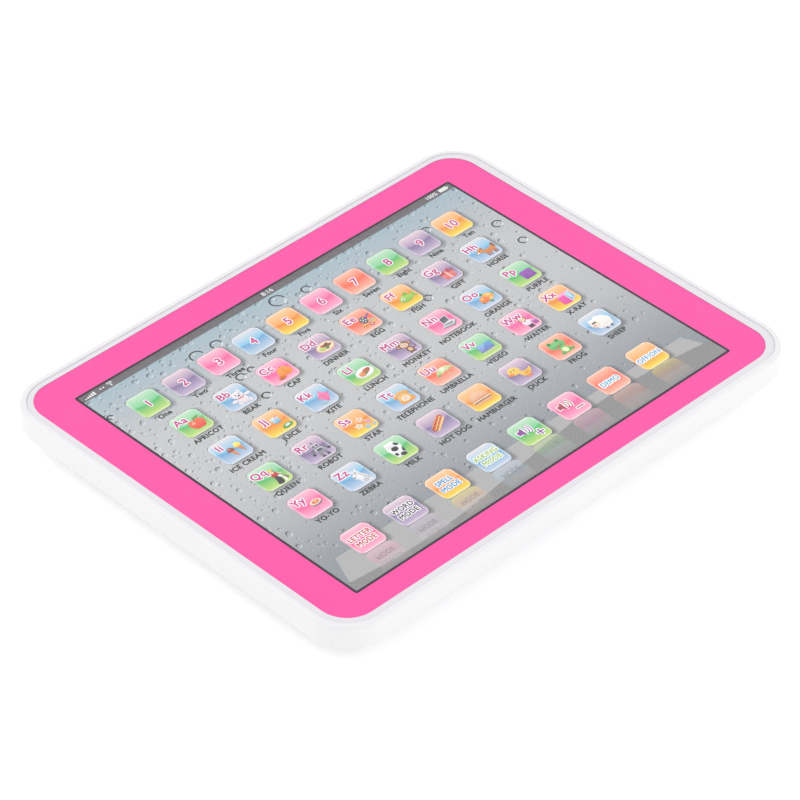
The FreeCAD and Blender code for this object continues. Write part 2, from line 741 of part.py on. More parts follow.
# ---------------------------------------------------------------- electronics
def main_board():
    """Circuit board on four posts, with its sound chip, small parts and tail connector."""
    plate = block("board_x", "board_y", "board_level", "board_length", "board_width", "board_thick")
    bores = [rod(x, y, "board_level - 1", "board_hole", "4") for x, y in BOARD_SCREWS]
    keep("main_board", cut(plate, fuse(bores)))
    dome = doc.addObject("Part::Cone", "dome")
    bind(dome, {"Radius1": "5.5", "Radius2": "3.5", "Height": "1.3"})
    keep("sound_chip", place(dome, "board_x - 12", "board_y", BOARD_TOP))
    cans = [rod(f"board_x + {x}", f"board_y + {y}", BOARD_TOP, "2", "3.6")
            for x, y in ((8, -10), (14, -10))]
    chips = [block(f"board_x + {x}", f"board_y + {y}", BOARD_TOP, "2", "1.2", "0.7")
             for x in (4, 8, 12, 16) for y in (-2, 2)]
    crystal = block("board_x - 24", "board_y + 4", BOARD_TOP, "3.5", "9", "3.2")
    transistor = block("board_x + 22", "board_y - 2", BOARD_TOP, "3", "1.6", "1.1")
    keep("board_components", group(cans + chips + [crystal, transistor]))
    shell = block("board_x", "board_y + board_width / 2 - 4", BOARD_TOP, "tail_width + 4", "5", "2.4")
    mouth = block("board_x", "board_y + board_width / 2 - 2", "tail_level - 0.1",
                  "tail_width + 0.4", "6", "0.4")
    keep("tail_connector", cut(shell, mouth))


def membrane_tail():
    """Ribbon that drops through the deck's slot, bends and enters the connector."""
    thick = value("layer_thick")
    bend = 2.0
    high = value(DECK_TOP)
    low = value("tail_level")
    slot = value("tail_slot_y")
    tip = value("board_y + board_width / 2 - 4")
    body = new_body("membrane_tail")
    sketch = body.newObject("Sketcher::SketchObject", "ribbon")
    sketch.AttachmentSupport = [(origin_item(body, "YZ_Plane"), "")]
    sketch.MapMode = "FlatFace"
    bind(sketch, {"AttachmentOffset.Base.z": "board_x - tail_width / 2"})
    centre = Vector(slot - bend, low + bend, 0)
    outlines = []
    for radius in (bend, bend - thick):
        circle = Part.Circle(centre, Vector(0, 0, 1), radius)
        outlines.append(Part.ArcOfCircle(circle, -math.pi / 2, 0))
    outer_arc, inner_arc = outlines
    corners = [outer_arc.EndPoint, Vector(slot, high, 0), Vector(slot - thick, high, 0), inner_arc.EndPoint]
    ends = [inner_arc.StartPoint, Vector(tip, low + thick, 0), Vector(tip, low, 0), outer_arc.StartPoint]
    for run in (corners, ends):
        for start, end in zip(run, run[1:]):
            sketch.addGeometry(Part.LineSegment(start, end), False)
    for arc in outlines:
        sketch.addGeometry(arc, False)
    pad(body, sketch, "tail_width")


def lead(points):
    """A round wire along straight runs joined by tangent arcs."""
    radius = value("lead_radius")
    bend = value("lead_bend")
    corners = [Vector(*point) for point in points]
    edges = []
    start = corners[0]
    for before, corner, after in zip(corners, corners[1:], corners[2:]):
        back = (before - corner).normalize()
        ahead = (after - corner).normalize()
        half_turn = (math.pi - back.getAngle(ahead)) / 2
        reach = bend * math.tan(half_turn)
        first = corner + back * reach
        last = corner + ahead * reach
        middle_way = (back + ahead).normalize()
        middle = corner + middle_way * (bend / math.cos(half_turn) - bend)
        edges.append(Part.LineSegment(start, first).toShape())
        edges.append(Part.Arc(first, middle, last).toShape())
        start = last
    edges.append(Part.LineSegment(start, corners[-1]).toShape())
    path = Part.Wire(edges)
    section = Part.Wire(Part.Circle(corners[0], corners[1] - corners[0], radius).toShape())
    return path.makePipeShell([section], True, False)


def lead_pair(name, routes):
    """Two wires that run side by side, kept as one sub-part."""
    pair = doc.addObject("Part::Feature", name)
    pair.Shape = Part.makeCompound([lead(points) for points in routes])
    keep(name, pair)


def leads():
    """Wires from the battery contacts and the speaker to the board's underside."""
    under = value("board_level")
    low = under - 2.8
    high = value("lead_exit")
    board_x = value("board_x")
    board_y = value("board_y")
    bay_y = value("bay_y")
    pitch = value("cell_pitch")
    end = value("bay_length / 2 - 0.05")
    out = value("bay_length / 2 + bay_wall") + 7
    front = bay_y + value("bay_width") / 2 + 9
    battery = [
        [(end, bay_y + pitch, high), (out, bay_y + pitch, high), (out, front, high),
         (out, front + 14, low), (out, board_y - 8, low), (out, board_y - 8, under)],
        [(-end, bay_y - pitch, high), (-out, bay_y - pitch, high), (-out, front, high),
         (-4, front + 6, low), (board_x - 18, front + 6, low), (board_x - 18, board_y - 4, low),
         (board_x - 18, board_y - 4, under)],
    ]
    speaker_x = value("speaker_x")
    speaker_y = value("speaker_y")
    sound = []
    for side in (-1, 1):
        y = speaker_y + side * 3
        sound.append([(speaker_x + 19, y, 8.0), (speaker_x + 27, y, 8.0), (speaker_x + 40, y, low),
                      (board_x - 24, y, low), (board_x - 24, y, under)])
    lead_pair("battery_leads", battery)
    lead_pair("speaker_leads", sound)


# Sub-parts that are a set of separate like solids; every other one is a single solid.
SOLIDS = {"casing_screws": 6, "board_screws": 4, "speaker_screws": 2, "board_components": 12,
          "battery_leads": 2, "speaker_leads": 2}
SOLIDS.update({f"picture_keys_row_{row}": 8 for row in range(1, 5)})

# ---------------------------------------------------------------- build
front_frame()
rear_casing()
plates()
all_keys()
battery_door()
door_screw()
battery_cells()
contacts()
screws("casing_screws", CASE_SCREWS, "screw_sunk", "screw_head", "screw_head_thick",
       "screw_shank", "screw_length", True)
speaker()
main_board()
screws("board_screws", BOARD_SCREWS, BOARD_TOP, "2", "1.2", "0.9", "6", False)
screws("speaker_screws", CLAMP_SCREWS, "speaker_level + 1.95", "2", "1.2", "0.9", "3", False)
membrane_tail()
leads()
doc.recompute()

for thing in doc.Objects:
    if "Invalid" in thing.State or "Error" in thing.State:
        raise SystemExit(f"{thing.Name} did not build: {thing.State}")
for name, thing in parts.items():
    if thing.Shape.isNull() or not thing.Shape.isValid():
        raise SystemExit(f"{name} has no valid shape")
    if len(thing.Shape.Solids) != SOLIDS.get(name, 1):
        raise SystemExit(f"{name} has {len(thing.Shape.Solids)} solids")

os.makedirs("parts", exist_ok=True)
for name, thing in parts.items():
    thing.Shape.exportStep(f"parts/{name}.step")
    print(name, len(thing.Shape.Solids), round(thing.Shape.Volume, 1))
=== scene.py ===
import math

import bpy
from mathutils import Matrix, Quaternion, Vector


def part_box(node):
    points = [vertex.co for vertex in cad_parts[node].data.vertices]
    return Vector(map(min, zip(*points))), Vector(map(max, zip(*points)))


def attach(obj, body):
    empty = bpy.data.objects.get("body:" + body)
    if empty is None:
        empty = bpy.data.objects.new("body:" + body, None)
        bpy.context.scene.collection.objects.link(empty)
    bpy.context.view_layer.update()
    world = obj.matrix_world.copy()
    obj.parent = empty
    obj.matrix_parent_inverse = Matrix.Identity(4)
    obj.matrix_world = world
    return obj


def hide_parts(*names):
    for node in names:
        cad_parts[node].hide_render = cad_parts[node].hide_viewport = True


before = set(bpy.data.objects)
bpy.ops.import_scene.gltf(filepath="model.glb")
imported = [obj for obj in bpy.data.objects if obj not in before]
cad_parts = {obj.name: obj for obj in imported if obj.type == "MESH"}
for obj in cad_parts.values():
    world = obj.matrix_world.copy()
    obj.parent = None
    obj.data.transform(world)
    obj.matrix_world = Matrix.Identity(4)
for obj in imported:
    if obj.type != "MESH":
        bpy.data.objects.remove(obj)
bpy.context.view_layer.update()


# ------------------------------------------------------------------ camera, floor and light
# A long lens looks down on the toy from its lower left corner. It lies on a plain pale
# floor under a bright even sky with two large soft lamps.
camera_spot = (-0.8427, -0.8398, 0.9751)
aimed_at = Vector((-0.0128, -0.0106, 0.0174))
camera_roll = 0.61
camera_data = bpy.data.cameras.new("camera")
camera_data.lens = 181.5
camera_data.clip_end = 20
camera = bpy.data.objects.new("camera", camera_data)
bpy.context.scene.collection.objects.link(camera)
bpy.context.scene.camera = camera
camera.location = camera_spot
look = aimed_at - camera.location
camera.rotation_mode = "QUATERNION"
camera.rotation_quaternion = (look.to_track_quat("-Z", "Y")
                              @ Quaternion((0, 0, 1), math.radians(camera_roll)))

bpy.context.scene.view_settings.view_transform = "Standard"
world = bpy.data.worlds.new("studio")
world.use_nodes = True
sky = world.node_tree.nodes["Background"]
sky.inputs["Color"].default_value = (1, 1, 1, 1)
sky.inputs["Strength"].default_value = 0.78
bpy.context.scene.world = world

for name, place, size, power in (("key_lamp", (-0.9, 1.1, 1.6), 1.6, 12),
                                 ("fill_lamp", (0.7, -1.3, 1.1), 1.4, 7.5)):
    lamp_data = bpy.data.lights.new(name, "AREA")
    lamp_data.size = size
    lamp_data.energy = power
    lamp = bpy.data.objects.new(name, lamp_data)
    lamp.location = place
    lamp.rotation_mode = "QUATERNION"
    lamp.rotation_quaternion = (-Vector(place)).to_track_quat("-Z", "Y")
    bpy.context.scene.collection.objects.link(lamp)


def tint(red, green, blue):
    """A colour as a printer names it, 0 to 255, made linear for the shader."""
    channels = []
    for channel in (red, green, blue):
        part = channel / 255
        channels.append(part / 12.92 if part <= 0.04045 else ((part + 0.055) / 1.055) ** 2.4)
    return (*channels, 1.0)


def add(tree, kind, inputs=(), output=0, **settings):
    """Adds a node, fills or links its inputs by name or number, returns an output or all."""
    made = tree.nodes.new(kind)
    for name, setting in settings.items():
        setattr(made, name, setting)
    for key, source in dict(inputs).items():
        if isinstance(source, bpy.types.NodeSocket):
            tree.links.new(source, made.inputs[key])
        else:
            made.inputs[key].default_value = source
    return made.outputs if output is None else made.outputs[output]


def maths(tree, operation, first, second=0.0, third=0.0):
    """One step of arithmetic on numbers or sockets."""
    return add(tree, "ShaderNodeMath", {0: first, 1: second, 2: third}, operation=operation)


def ramp(tree, amount, start, end):
    """0 at start, 1 at end, smooth between."""
    return add(tree, "ShaderNodeMapRange", {"Value": amount, "From Min": start, "From Max": end},
               interpolation_type="SMOOTHSTEP")


def mix_colour(tree, amount, first, second, way="MIX"):
    """Two colours mixed by an amount."""
    made = tree.nodes.new("ShaderNodeMix")
    made.data_type = "RGBA"
    made.blend_type = way
    for number, source in ((0, amount), (6, first), (7, second)):
        if isinstance(source, bpy.types.NodeSocket):
            tree.links.new(source, made.inputs[number])
        else:
            made.inputs[number].default_value = source
    return made.outputs[2]


def new_material(name, **constants):
    """A node material with its constant numbers set on the shader's own sockets."""
    material = bpy.data.materials.new(name)
    material.use_nodes = True
    shader = material.node_tree.nodes["Principled BSDF"]
    for socket, number in constants.items():
        shader.inputs[socket.replace("_", " ")].default_value = number
    return material, material.node_tree, shader


def new_group(name, inputs, outputs):
    """An empty shader node group with named number or vector inputs and outputs."""
    group = bpy.data.node_groups.new(name, "ShaderNodeTree")
    for socket, start in inputs.items():
        kind = "NodeSocketVector" if start is None else "NodeSocketFloat"
        made = group.interface.new_socket(socket, in_out="INPUT", socket_type=kind)
        if start is not None:
            made.default_value = start
    for socket in outputs:
        group.interface.new_socket(socket, in_out="OUTPUT", socket_type="NodeSocketFloat")
    return group, group.nodes.new("NodeGroupInput").outputs, group.nodes.new("NodeGroupOutput").inputs


def use_group(tree, group, **values):
    """Places a node group in a material with its own values, and returns its outputs."""
    made = tree.nodes.new("ShaderNodeGroup")
    made.node_tree = group
    for name, source in values.items():
        socket = made.inputs[name.replace("_", " ")]
        if isinstance(source, bpy.types.NodeSocket):
            tree.links.new(source, socket)
        else:
            socket.default_value = source
    return made.outputs


def bump(tree, shader, height, distance, strength=1.0):
    """Feeds a height, 0 to 1, to the shader's normal as a bump of a real depth in metres."""
    normal = add(tree, "ShaderNodeBump", {"Height": height, "Distance": distance, "Strength": strength})
    tree.links.new(normal, shader.inputs["Normal"])


def object_coordinates(tree):
    """Place on the toy in metres, the same for every piece."""
    return add(tree, "ShaderNodeTexCoord", output="Object")


def noise(tree, scale, detail=2.0, vector=None):
    """Soft uneven tone, 0 to 1, in features about 1 / scale across."""
    where = vector if vector is not None else object_coordinates(tree)
    return add(tree, "ShaderNodeTexNoise", {"Vector": where, "Scale": scale, "Detail": detail})


def dress(node, *materials):
    """Gives a node of the fixed frame its finished material."""
    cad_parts[node].data.materials.clear()
    for material in materials:
        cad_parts[node].data.materials.append(material)


floor_reach = 3.0
floor_level = -0.0003
floor_mesh = bpy.data.meshes.new("floor")
floor_mesh.from_pydata([(x * floor_reach, y * floor_reach, floor_level)
                        for x, y in ((-1, -1), (1, -1), (1, 1), (-1, 1))], [], [(0, 1, 2, 3)])
floor = bpy.data.objects.new("floor", floor_mesh)
bpy.context.scene.collection.objects.link(floor)
paper, tree, shader = new_material("white_paper", Roughness=0.9, Emission_Strength=0.18)
speckle = noise(tree, 40)
tree.links.new(mix_colour(tree, speckle, (0.93, 0.93, 0.93, 1), (0.96, 0.96, 0.96, 1)),
               shader.inputs["Base Color"])
shader.inputs["Emission Color"].default_value = (1, 1, 1, 1)
floor_mesh.materials.append(paper)


# ------------------------------------------------------------------ white case
# Front and back shells are injection moulded in glossy white styrene. The moulds leave a
# very faint grain and the thick walls shrink a little unevenly.
grain, grain_in, grain_out = new_group("moulding_grain", {"Grain Scale": 900.0}, ["Tone", "Height"])
fine = noise(grain, grain_in["Grain Scale"], 3.0)
broad = noise(grain, 18.0)
grain.links.new(broad, grain_out["Tone"])
grain.links.new(maths(grain, "MULTIPLY_ADD", fine, 0.6, maths(grain, "MULTIPLY", broad, 0.4)),
                grain_out["Height"])


def moulded_plastic(name, low_tone, high_tone, roughness, coat=0.0, depth=0.00001):
    """A moulded plastic finish between two tones, with the shared grain."""
    material, tree, shader = new_material(name, Roughness=roughness, Coat_Weight=coat,
                                          Coat_Roughness=0.12)
    marks = use_group(tree, grain, Grain_Scale=900.0)
    tree.links.new(mix_colour(tree, marks["Tone"], low_tone, high_tone), shader.inputs["Base Color"])
    spread = 0.08
    tree.links.new(maths(tree, "MULTIPLY_ADD", marks["Height"], spread, roughness - spread / 2),
                   shader.inputs["Roughness"])
    bump(tree, shader, marks["Height"], depth)
    return material


case_white = moulded_plastic("case_white", tint(234, 234, 236), tint(240, 240, 241), 0.34, coat=0.2)
dress("front_frame", case_white)
# The back shell is the same white styrene as the front; its tones are set a little darker as painted
# shade on its lower walls.
dress("rear_casing", moulded_plastic("back_white_with_painted_shade", tint(230, 230, 233), tint(236, 236, 238), 0.4,
                                     coat=0.1))


# ------------------------------------------------------------------ front film
# A clear glossy film covers the whole front. Its edge outside the print is bare, so the
# case shows through it as a pale lavender band with a fine line where the film ends.
MM = 0.001


def rounded_outline(x, y, length, width, corner, steps=12):
    """Points of a rounded rectangle, anticlockwise, in millimetres."""
    points = []
    for side_x, side_y, start in ((1, 1, 0), (-1, 1, 90), (-1, -1, 180), (1, -1, 270)):
        middle_x = x + side_x * (length / 2 - corner)
        middle_y = y + side_y * (width / 2 - corner)
        for step in range(steps + 1):
            angle = math.radians(start + 90 * step / steps)
            points.append((middle_x + corner * math.cos(angle), middle_y + corner * math.sin(angle)))
    return points


def new_piece(name, points, faces, materials, body):
    """A mesh piece from points in millimetres that rides on a body."""
    mesh = bpy.data.meshes.new(name)
    mesh.from_pydata([tuple(value * MM for value in point) for point in points], [], faces)
    for material in materials:
        mesh.materials.append(material)
    piece = bpy.data.objects.new(name, mesh)
    bpy.context.scene.collection.objects.link(piece)
    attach(piece, body)
    return piece


def bridge(points, faces, lower, upper, level_low, level_high):
    """Joins two outlines of equal count with a band of faces."""
    start = len(points)
    count = len(lower)
    points += [(x, y, level_low) for x, y in lower] + [(x, y, level_high) for x, y in upper]
    for number in range(count):
        after = (number + 1) % count
        faces.append((start + number, start + after, start + count + after, start + count + number))


def plate_box(node):
    """Centre, length, width, bottom and top of a flat node, in millimetres."""
    low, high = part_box(node)
    return ((low.x + high.x) / 2 / MM, (low.y + high.y) / 2 / MM, (high.x - low.x) / MM,
            (high.y - low.y) / MM, low.z / MM, high.z / MM)


film_x, film_y, film_length, film_width, film_bottom, film_top = plate_box("front_film")
border_x, border_y, border_length, border_width, _, print_top = plate_box("border_print")
film_corner = 15.0
film_chamfer = 0.06
film_line_width = 0.25
border_corner = 12.5

points, faces = [], []
edge = rounded_outline(film_x, film_y, film_length, film_width, film_corner)
face_edge = rounded_outline(film_x, film_y, film_length - 0.2, film_width - 0.2, film_corner - 0.1)
bridge(points, faces, edge, edge, film_bottom + 0.03, film_top - film_chamfer)
bridge(points, faces, edge, face_edge, film_top - film_chamfer, film_top)
count = len(edge)
faces.append(tuple(range(3 * count, 4 * count)))
faces.append(tuple(reversed(range(count))))
clear_film, tree, shader = new_material("clear_film", Roughness=0.06, Alpha=0.015, IOR=1.5)
tree.links.new(mix_colour(tree, noise(tree, 30), tint(246, 242, 250), tint(252, 250, 253)),
               shader.inputs["Base Color"])
film = new_piece("clear_front_film", points, faces, [clear_film], "case")
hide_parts("front_film")

points, faces = [], []
margin_level = film_bottom + 0.012
line_inside = rounded_outline(film_x, film_y, film_length - 2 * film_line_width,
                              film_width - 2 * film_line_width, film_corner)
bridge(points, faces, rounded_outline(film_x, film_y, film_length + 0.24, film_width + 0.24,
                                      film_corner),
       line_inside, film_bottom + 0.005, margin_level)
line_faces = len(faces)
bridge(points, faces, line_inside,
       rounded_outline(border_x, border_y, border_length, border_width, border_corner),
       margin_level, margin_level)
film_line = moulded_plastic("film_line", tint(216, 213, 221), tint(222, 219, 226), 0.4)
film_margin = moulded_plastic("film_margin", tint(227, 224, 231), tint(234, 231, 236), 0.25, coat=0.4)
margin = new_piece("bare_film_margin", points, faces, [film_line, film_margin], "case")
for face in margin.data.polygons[line_faces:]:
    face.material_index = 1


# ------------------------------------------------------------------ pink border
# The border is solid pink ink on the back of the film, framed on the screen side by a
# thin dark plum line. The ink is even, with the film's slight orange peel over it.
def printed_gloss(name, roughness=0.28, coat=0.25):
    """A print seen through gloss film: the ink is matt, the film over it shines."""
    material, tree, shader = new_material(name, Roughness=roughness, Coat_Weight=coat,
                                          Coat_Roughness=0.08, Specular_IOR_Level=0.12)
    bump(tree, shader, noise(tree, 700, 2), 0.000012)
    return material, tree, shader


pink_ink, tree, shader = printed_gloss("pink_ink")
tree.links.new(mix_colour(tree, noise(tree, 25, 3), tint(252, 80, 165), tint(255, 87, 171)),
               shader.inputs["Base Color"])
dress("border_print", pink_ink)

screen_x, screen_y, screen_length, screen_width, _, _ = plate_box("screen_print")
line_width = 1.1
plum_ink, tree, shader = printed_gloss("plum_ink")
tree.links.new(mix_colour(tree, noise(tree, 60, 3), tint(54, 38, 52), tint(70, 50, 68)),
               shader.inputs["Base Color"])
points, faces = [], []
inner = rounded_outline(screen_x, screen_y, screen_length - line_width, screen_width - line_width, 0.5,
                        3)
outer = rounded_outline(screen_x, screen_y, screen_length + line_width, screen_width + line_width, 1.0,
                        3)
bridge(points, faces, outer, inner, print_top + 0.012, print_top + 0.012)
outline_piece = new_piece("screen_outline", points, faces, [plum_ink], "case")


# ------------------------------------------------------------------ printed screen
# The screen is a picture: grey glass, paler above the middle, with water drops all over
# it, a status bar, and a glass shelf at the bottom. It is printed under the same film.
def printed_place(tree):
    """Millimetres from the middle of the screen, as a vector."""
    scaled = add(tree, "ShaderNodeVectorMath", {0: object_coordinates(tree), 1: (1000, 1000, 0)},
                 operation="MULTIPLY")
    return add(tree, "ShaderNodeVectorMath", {0: scaled, 1: (screen_x, screen_y, 0)},
               operation="SUBTRACT")


def split(tree, vector):
    """The three parts of a vector."""
    parts = tree.nodes.new("ShaderNodeSeparateXYZ")
    tree.links.new(vector, parts.inputs[0])
    return parts.outputs


# One scattering of drops: each has a dark crescent at its upper left and a glint opposite.
drops, drops_in, drops_out = new_group(
    "water_drops", {"Place": None, "Spacing": 5.0, "Smallest": 0.4, "Largest": 0.9, "Share": 0.6},
    ["Dark", "Glint"])
cells = drops.nodes.new("ShaderNodeTexVoronoi")
cells.voronoi_dimensions = "2D"
drops.links.new(drops_in["Place"], cells.inputs["Vector"])
drops.links.new(maths(drops, "DIVIDE", 1.0, drops_in["Spacing"]), cells.inputs["Scale"])
drift = add(drops, "ShaderNodeVectorMath", {0: drops_in["Place"], 1: cells.outputs["Position"]},
            operation="SUBTRACT")
luck = drops.nodes.new("ShaderNodeSeparateColor")
drops.links.new(cells.outputs["Color"], luck.inputs[0])
size = maths(drops, "MULTIPLY_ADD", luck.outputs[0],
             maths(drops, "SUBTRACT", drops_in["Largest"], drops_in["Smallest"]), drops_in["Smallest"])
across = split(drops, drift)
far = maths(drops, "DIVIDE", maths(drops, "SQRT", maths(
    drops, "MULTIPLY_ADD", across[0], maths(drops, "MULTIPLY", across[0], 1.3),
    maths(drops, "MULTIPLY", across[1], across[1]))), size)
inside = ramp(drops, far, 1.08, 0.92)
kept = maths(drops, "LESS_THAN", luck.outputs[1], drops_in["Share"])
toward = maths(drops, "DIVIDE", maths(
    drops, "MULTIPLY_ADD", across[0], -0.45, maths(drops, "MULTIPLY", across[1], 0.9)), size)
ring = maths(drops, "MULTIPLY", maths(drops, "MULTIPLY", inside, kept), ramp(drops, far, 0.35, 0.85))
drops.links.new(maths(drops, "MULTIPLY", ring, ramp(drops, toward, -0.05, 0.7)), drops_out["Dark"])
drops.links.new(maths(drops, "MULTIPLY", ring, ramp(drops, toward, -0.25, -0.8)), drops_out["Glint"])

# The soft shadow printed to the lower right of each key in one row.
shade, shade_in, shade_out = new_group(
    "key_shadow", {"Place": None, "First": 0.0, "Row": 0.0, "Pitch": 20.0, "Last": 7.0,
                   "Half Size": 6.75, "Drop": 1.0}, ["Shadow"])
spot = split(shade, shade_in["Place"])
along = maths(shade, "SUBTRACT", maths(shade, "SUBTRACT", spot[0], shade_in["First"]), shade_in["Drop"])
turn = maths(shade, "ROUND", maths(shade, "MINIMUM", maths(shade, "MAXIMUM", maths(
    shade, "DIVIDE", along, shade_in["Pitch"]), 0.0), shade_in["Last"]))
side_x = maths(shade, "ABSOLUTE", maths(shade, "SUBTRACT", along, maths(
    shade, "MULTIPLY", turn, shade_in["Pitch"])))
side_y = maths(shade, "ABSOLUTE", maths(shade, "ADD", maths(
    shade, "SUBTRACT", spot[1], shade_in["Row"]), shade_in["Drop"]))
core = maths(shade, "SUBTRACT", shade_in["Half Size"], 2.2)
over_x = maths(shade, "MAXIMUM", maths(shade, "SUBTRACT", side_x, core), 0.0)
over_y = maths(shade, "MAXIMUM", maths(shade, "SUBTRACT", side_y, core), 0.0)
reach = maths(shade, "SQRT", maths(shade, "MULTIPLY_ADD", over_x, over_x,
                                   maths(shade, "MULTIPLY", over_y, over_y)))
shade.links.new(ramp(shade, reach, 3.5, 1.2), shade_out["Shadow"])


def key_places(node, count):
    """Centres and size of the keys in a node, in millimetres, read from the frame."""
    low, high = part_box(node)
    key_size = (high.y - low.y) / MM
    first = low.x / MM + key_size / 2
    pitch = ((high.x - low.x) / MM - key_size) / (count - 1) if count > 1 else 0
    middle = (low.y + high.y) / 2 / MM
    return [(first + pitch * number, middle) for number in range(count)], key_size


function_keys = ["letter_mode_key", "word_mode_key", "spell_mode_key", "asking_mode_key",
                 "volume_up_key", "volume_down_key", "demo_key", "power_key"]
number_places = [key_places(f"number_key_{number}", 1)[0][0] for number in range(1, 11)]
row_places = [key_places(f"picture_keys_row_{row}", 8)[0] for row in range(1, 5)]
function_places = [key_places(name, 1)[0][0] for name in function_keys]
key_size = key_places("number_key_1", 1)[1]

glass_print, tree, shader = printed_gloss("screen_picture")
place = printed_place(tree)
where = split(tree, place)
screen_end = 76
height_stops = ((-76, (138, 144, 150)), (-55, (150, 155, 161)), (-44, (163, 166, 171)),
                (-33, (174, 177, 181)), (-18, (188, 190, 194)), (5, (197, 198, 199)),
                (35, (197, 199, 200)), (50, (189, 194, 198)), (60, (179, 190, 197)),
                (70, (166, 187, 197)))
fade = tree.nodes.new("ShaderNodeValToRGB")
tree.links.new(add(tree, "ShaderNodeMapRange", {"Value": where[1], "From Min": -screen_end,
                                                "From Max": screen_end}), fade.inputs[0])
for level, colour in height_stops:
    stop = fade.color_ramp.elements.new((level + screen_end) / (2 * screen_end))
    stop.color = tint(*colour)
for spare in (0, len(fade.color_ramp.elements) - 1):
    fade.color_ramp.elements[spare].color = tint(*height_stops[0 if spare == 0 else -1][1])
right_side = add(tree, "ShaderNodeMapRange", {"Value": where[0], "From Min": 0, "From Max": 99,
                                              "To Max": 0.06})
picture = mix_colour(tree, right_side, fade.outputs[0], tint(120, 130, 140))

# The glass shelf: a paler board that widens towards the viewer, with a darker front curve.
shelf_edge, shelf_half_width, shelf_flare = -57.2, 91.7, 0.42
front_level, front_rise, front_shift, front_run = -67.35, 5.05, 6.0, 112
past_edge = maths(tree, "SUBTRACT", shelf_edge, where[1])
half_width = maths(tree, "MULTIPLY_ADD", past_edge, shelf_flare, shelf_half_width)
on_shelf = maths(tree, "MULTIPLY", ramp(tree, past_edge, -0.15, 0.15), ramp(
    tree, maths(tree, "SUBTRACT", half_width, maths(tree, "ABSOLUTE", where[0])), -0.2, 0.2))
wave = maths(tree, "MULTIPLY_ADD", maths(tree, "SINE", maths(
    tree, "MULTIPLY", maths(tree, "ADD", where[0], front_shift), math.pi / front_run)),
             front_rise, front_level)
in_front = maths(tree, "MULTIPLY", ramp(
    tree, maths(tree, "SUBTRACT", wave, where[1]), -0.25, 0.25), ramp(
        tree, maths(tree, "SUBTRACT", maths(tree, "ADD", half_width, 3.0), maths(
            tree, "ABSOLUTE", where[0])), -0.2, 0.2))
picture = mix_colour(tree, on_shelf, picture, tint(178, 178, 178))
picture = mix_colour(tree, in_front, picture, tint(142, 142, 142))

# Drops in three sizes stand more closely towards the top and the left, none on the shelf.
above_shelf = ramp(tree, past_edge, 1.0, -2.0)
more_upwards = add(tree, "ShaderNodeMapRange", {"Value": where[1], "From Min": -60, "From Max": 60,
                                                "To Min": 0.2, "To Max": 0.85})
more_leftwards = add(tree, "ShaderNodeMapRange", {"Value": where[0], "From Min": -90, "From Max": 90,
                                                  "To Min": 0.3, "To Max": -0.1})
patches = maths(tree, "MULTIPLY_ADD", noise(tree, 0.05, 1, place), 0.6, 0.1)
crowding = maths(tree, "MULTIPLY", patches, maths(tree, "ADD", more_upwards, more_leftwards))
dark, glint = 0.0, 0.0
for spacing, smallest, largest, share in ((6.3, 0.85, 1.5, 0.75), (4.1, 0.5, 0.9, 0.7),
                                          (2.3, 0.25, 0.45, 0.4)):
    shifted = add(tree, "ShaderNodeVectorMath", {0: place, 1: (spacing * 3, spacing * 5, 0)},
                  operation="ADD")
    scatter = use_group(tree, drops, Place=shifted, Spacing=spacing, Smallest=smallest,
                        Largest=largest, Share=maths(tree, "MULTIPLY", crowding, share * 2))
    dark = maths(tree, "MAXIMUM", scatter["Dark"], dark)
    glint = maths(tree, "MAXIMUM", scatter["Glint"], glint)
picture = mix_colour(tree, maths(tree, "MULTIPLY", maths(tree, "MULTIPLY", dark, above_shelf), 0.9),
                     picture, tint(44, 48, 56))
picture = mix_colour(tree, maths(tree, "MULTIPLY", maths(tree, "MULTIPLY", glint, above_shelf), 0.55),
                     picture, tint(240, 246, 250))

shadow = 0.0
for places in [number_places] + row_places + [function_places]:
    first_x, row_y = places[0]
    row_shadow = use_group(tree, shade, Place=place, First=first_x - screen_x, Row=row_y - screen_y,
                           Pitch=(places[-1][0] - first_x) / (len(places) - 1), Last=len(places) - 1,
                           Half_Size=key_size / 2, Drop=1.1)
    shadow = maths(tree, "MAXIMUM", row_shadow["Shadow"], shadow)
picture = mix_colour(tree, maths(tree, "MULTIPLY", shadow, 0.55), picture, tint(62, 66, 74))
relief = noise(tree, 1.6, 3, place)
picture = mix_colour(tree, maths(tree, "MULTIPLY", ramp(tree, relief, 0.35, 0.75), 0.1), picture,
                     tint(255, 255, 255))
tree.links.new(picture, shader.inputs["Base Color"])
dress("screen_print", glass_print)


# ------------------------------------------------------------------ flat ink artwork
# Everything printed over the screen and the keys is thin flat ink: big drops, the status
# bar, captions and pictures. One shared ink takes its colour from the artwork itself.
ink, tree, shader = printed_gloss("picture_ink")
laid = add(tree, "ShaderNodeVertexColor", layer_name="ink")
tree.links.new(mix_colour(tree, maths(tree, "MULTIPLY", noise(tree, 350, 2), 0.08), laid, (1, 1, 1, 1)),
               shader.inputs["Base Color"])

ink_step = 0.005


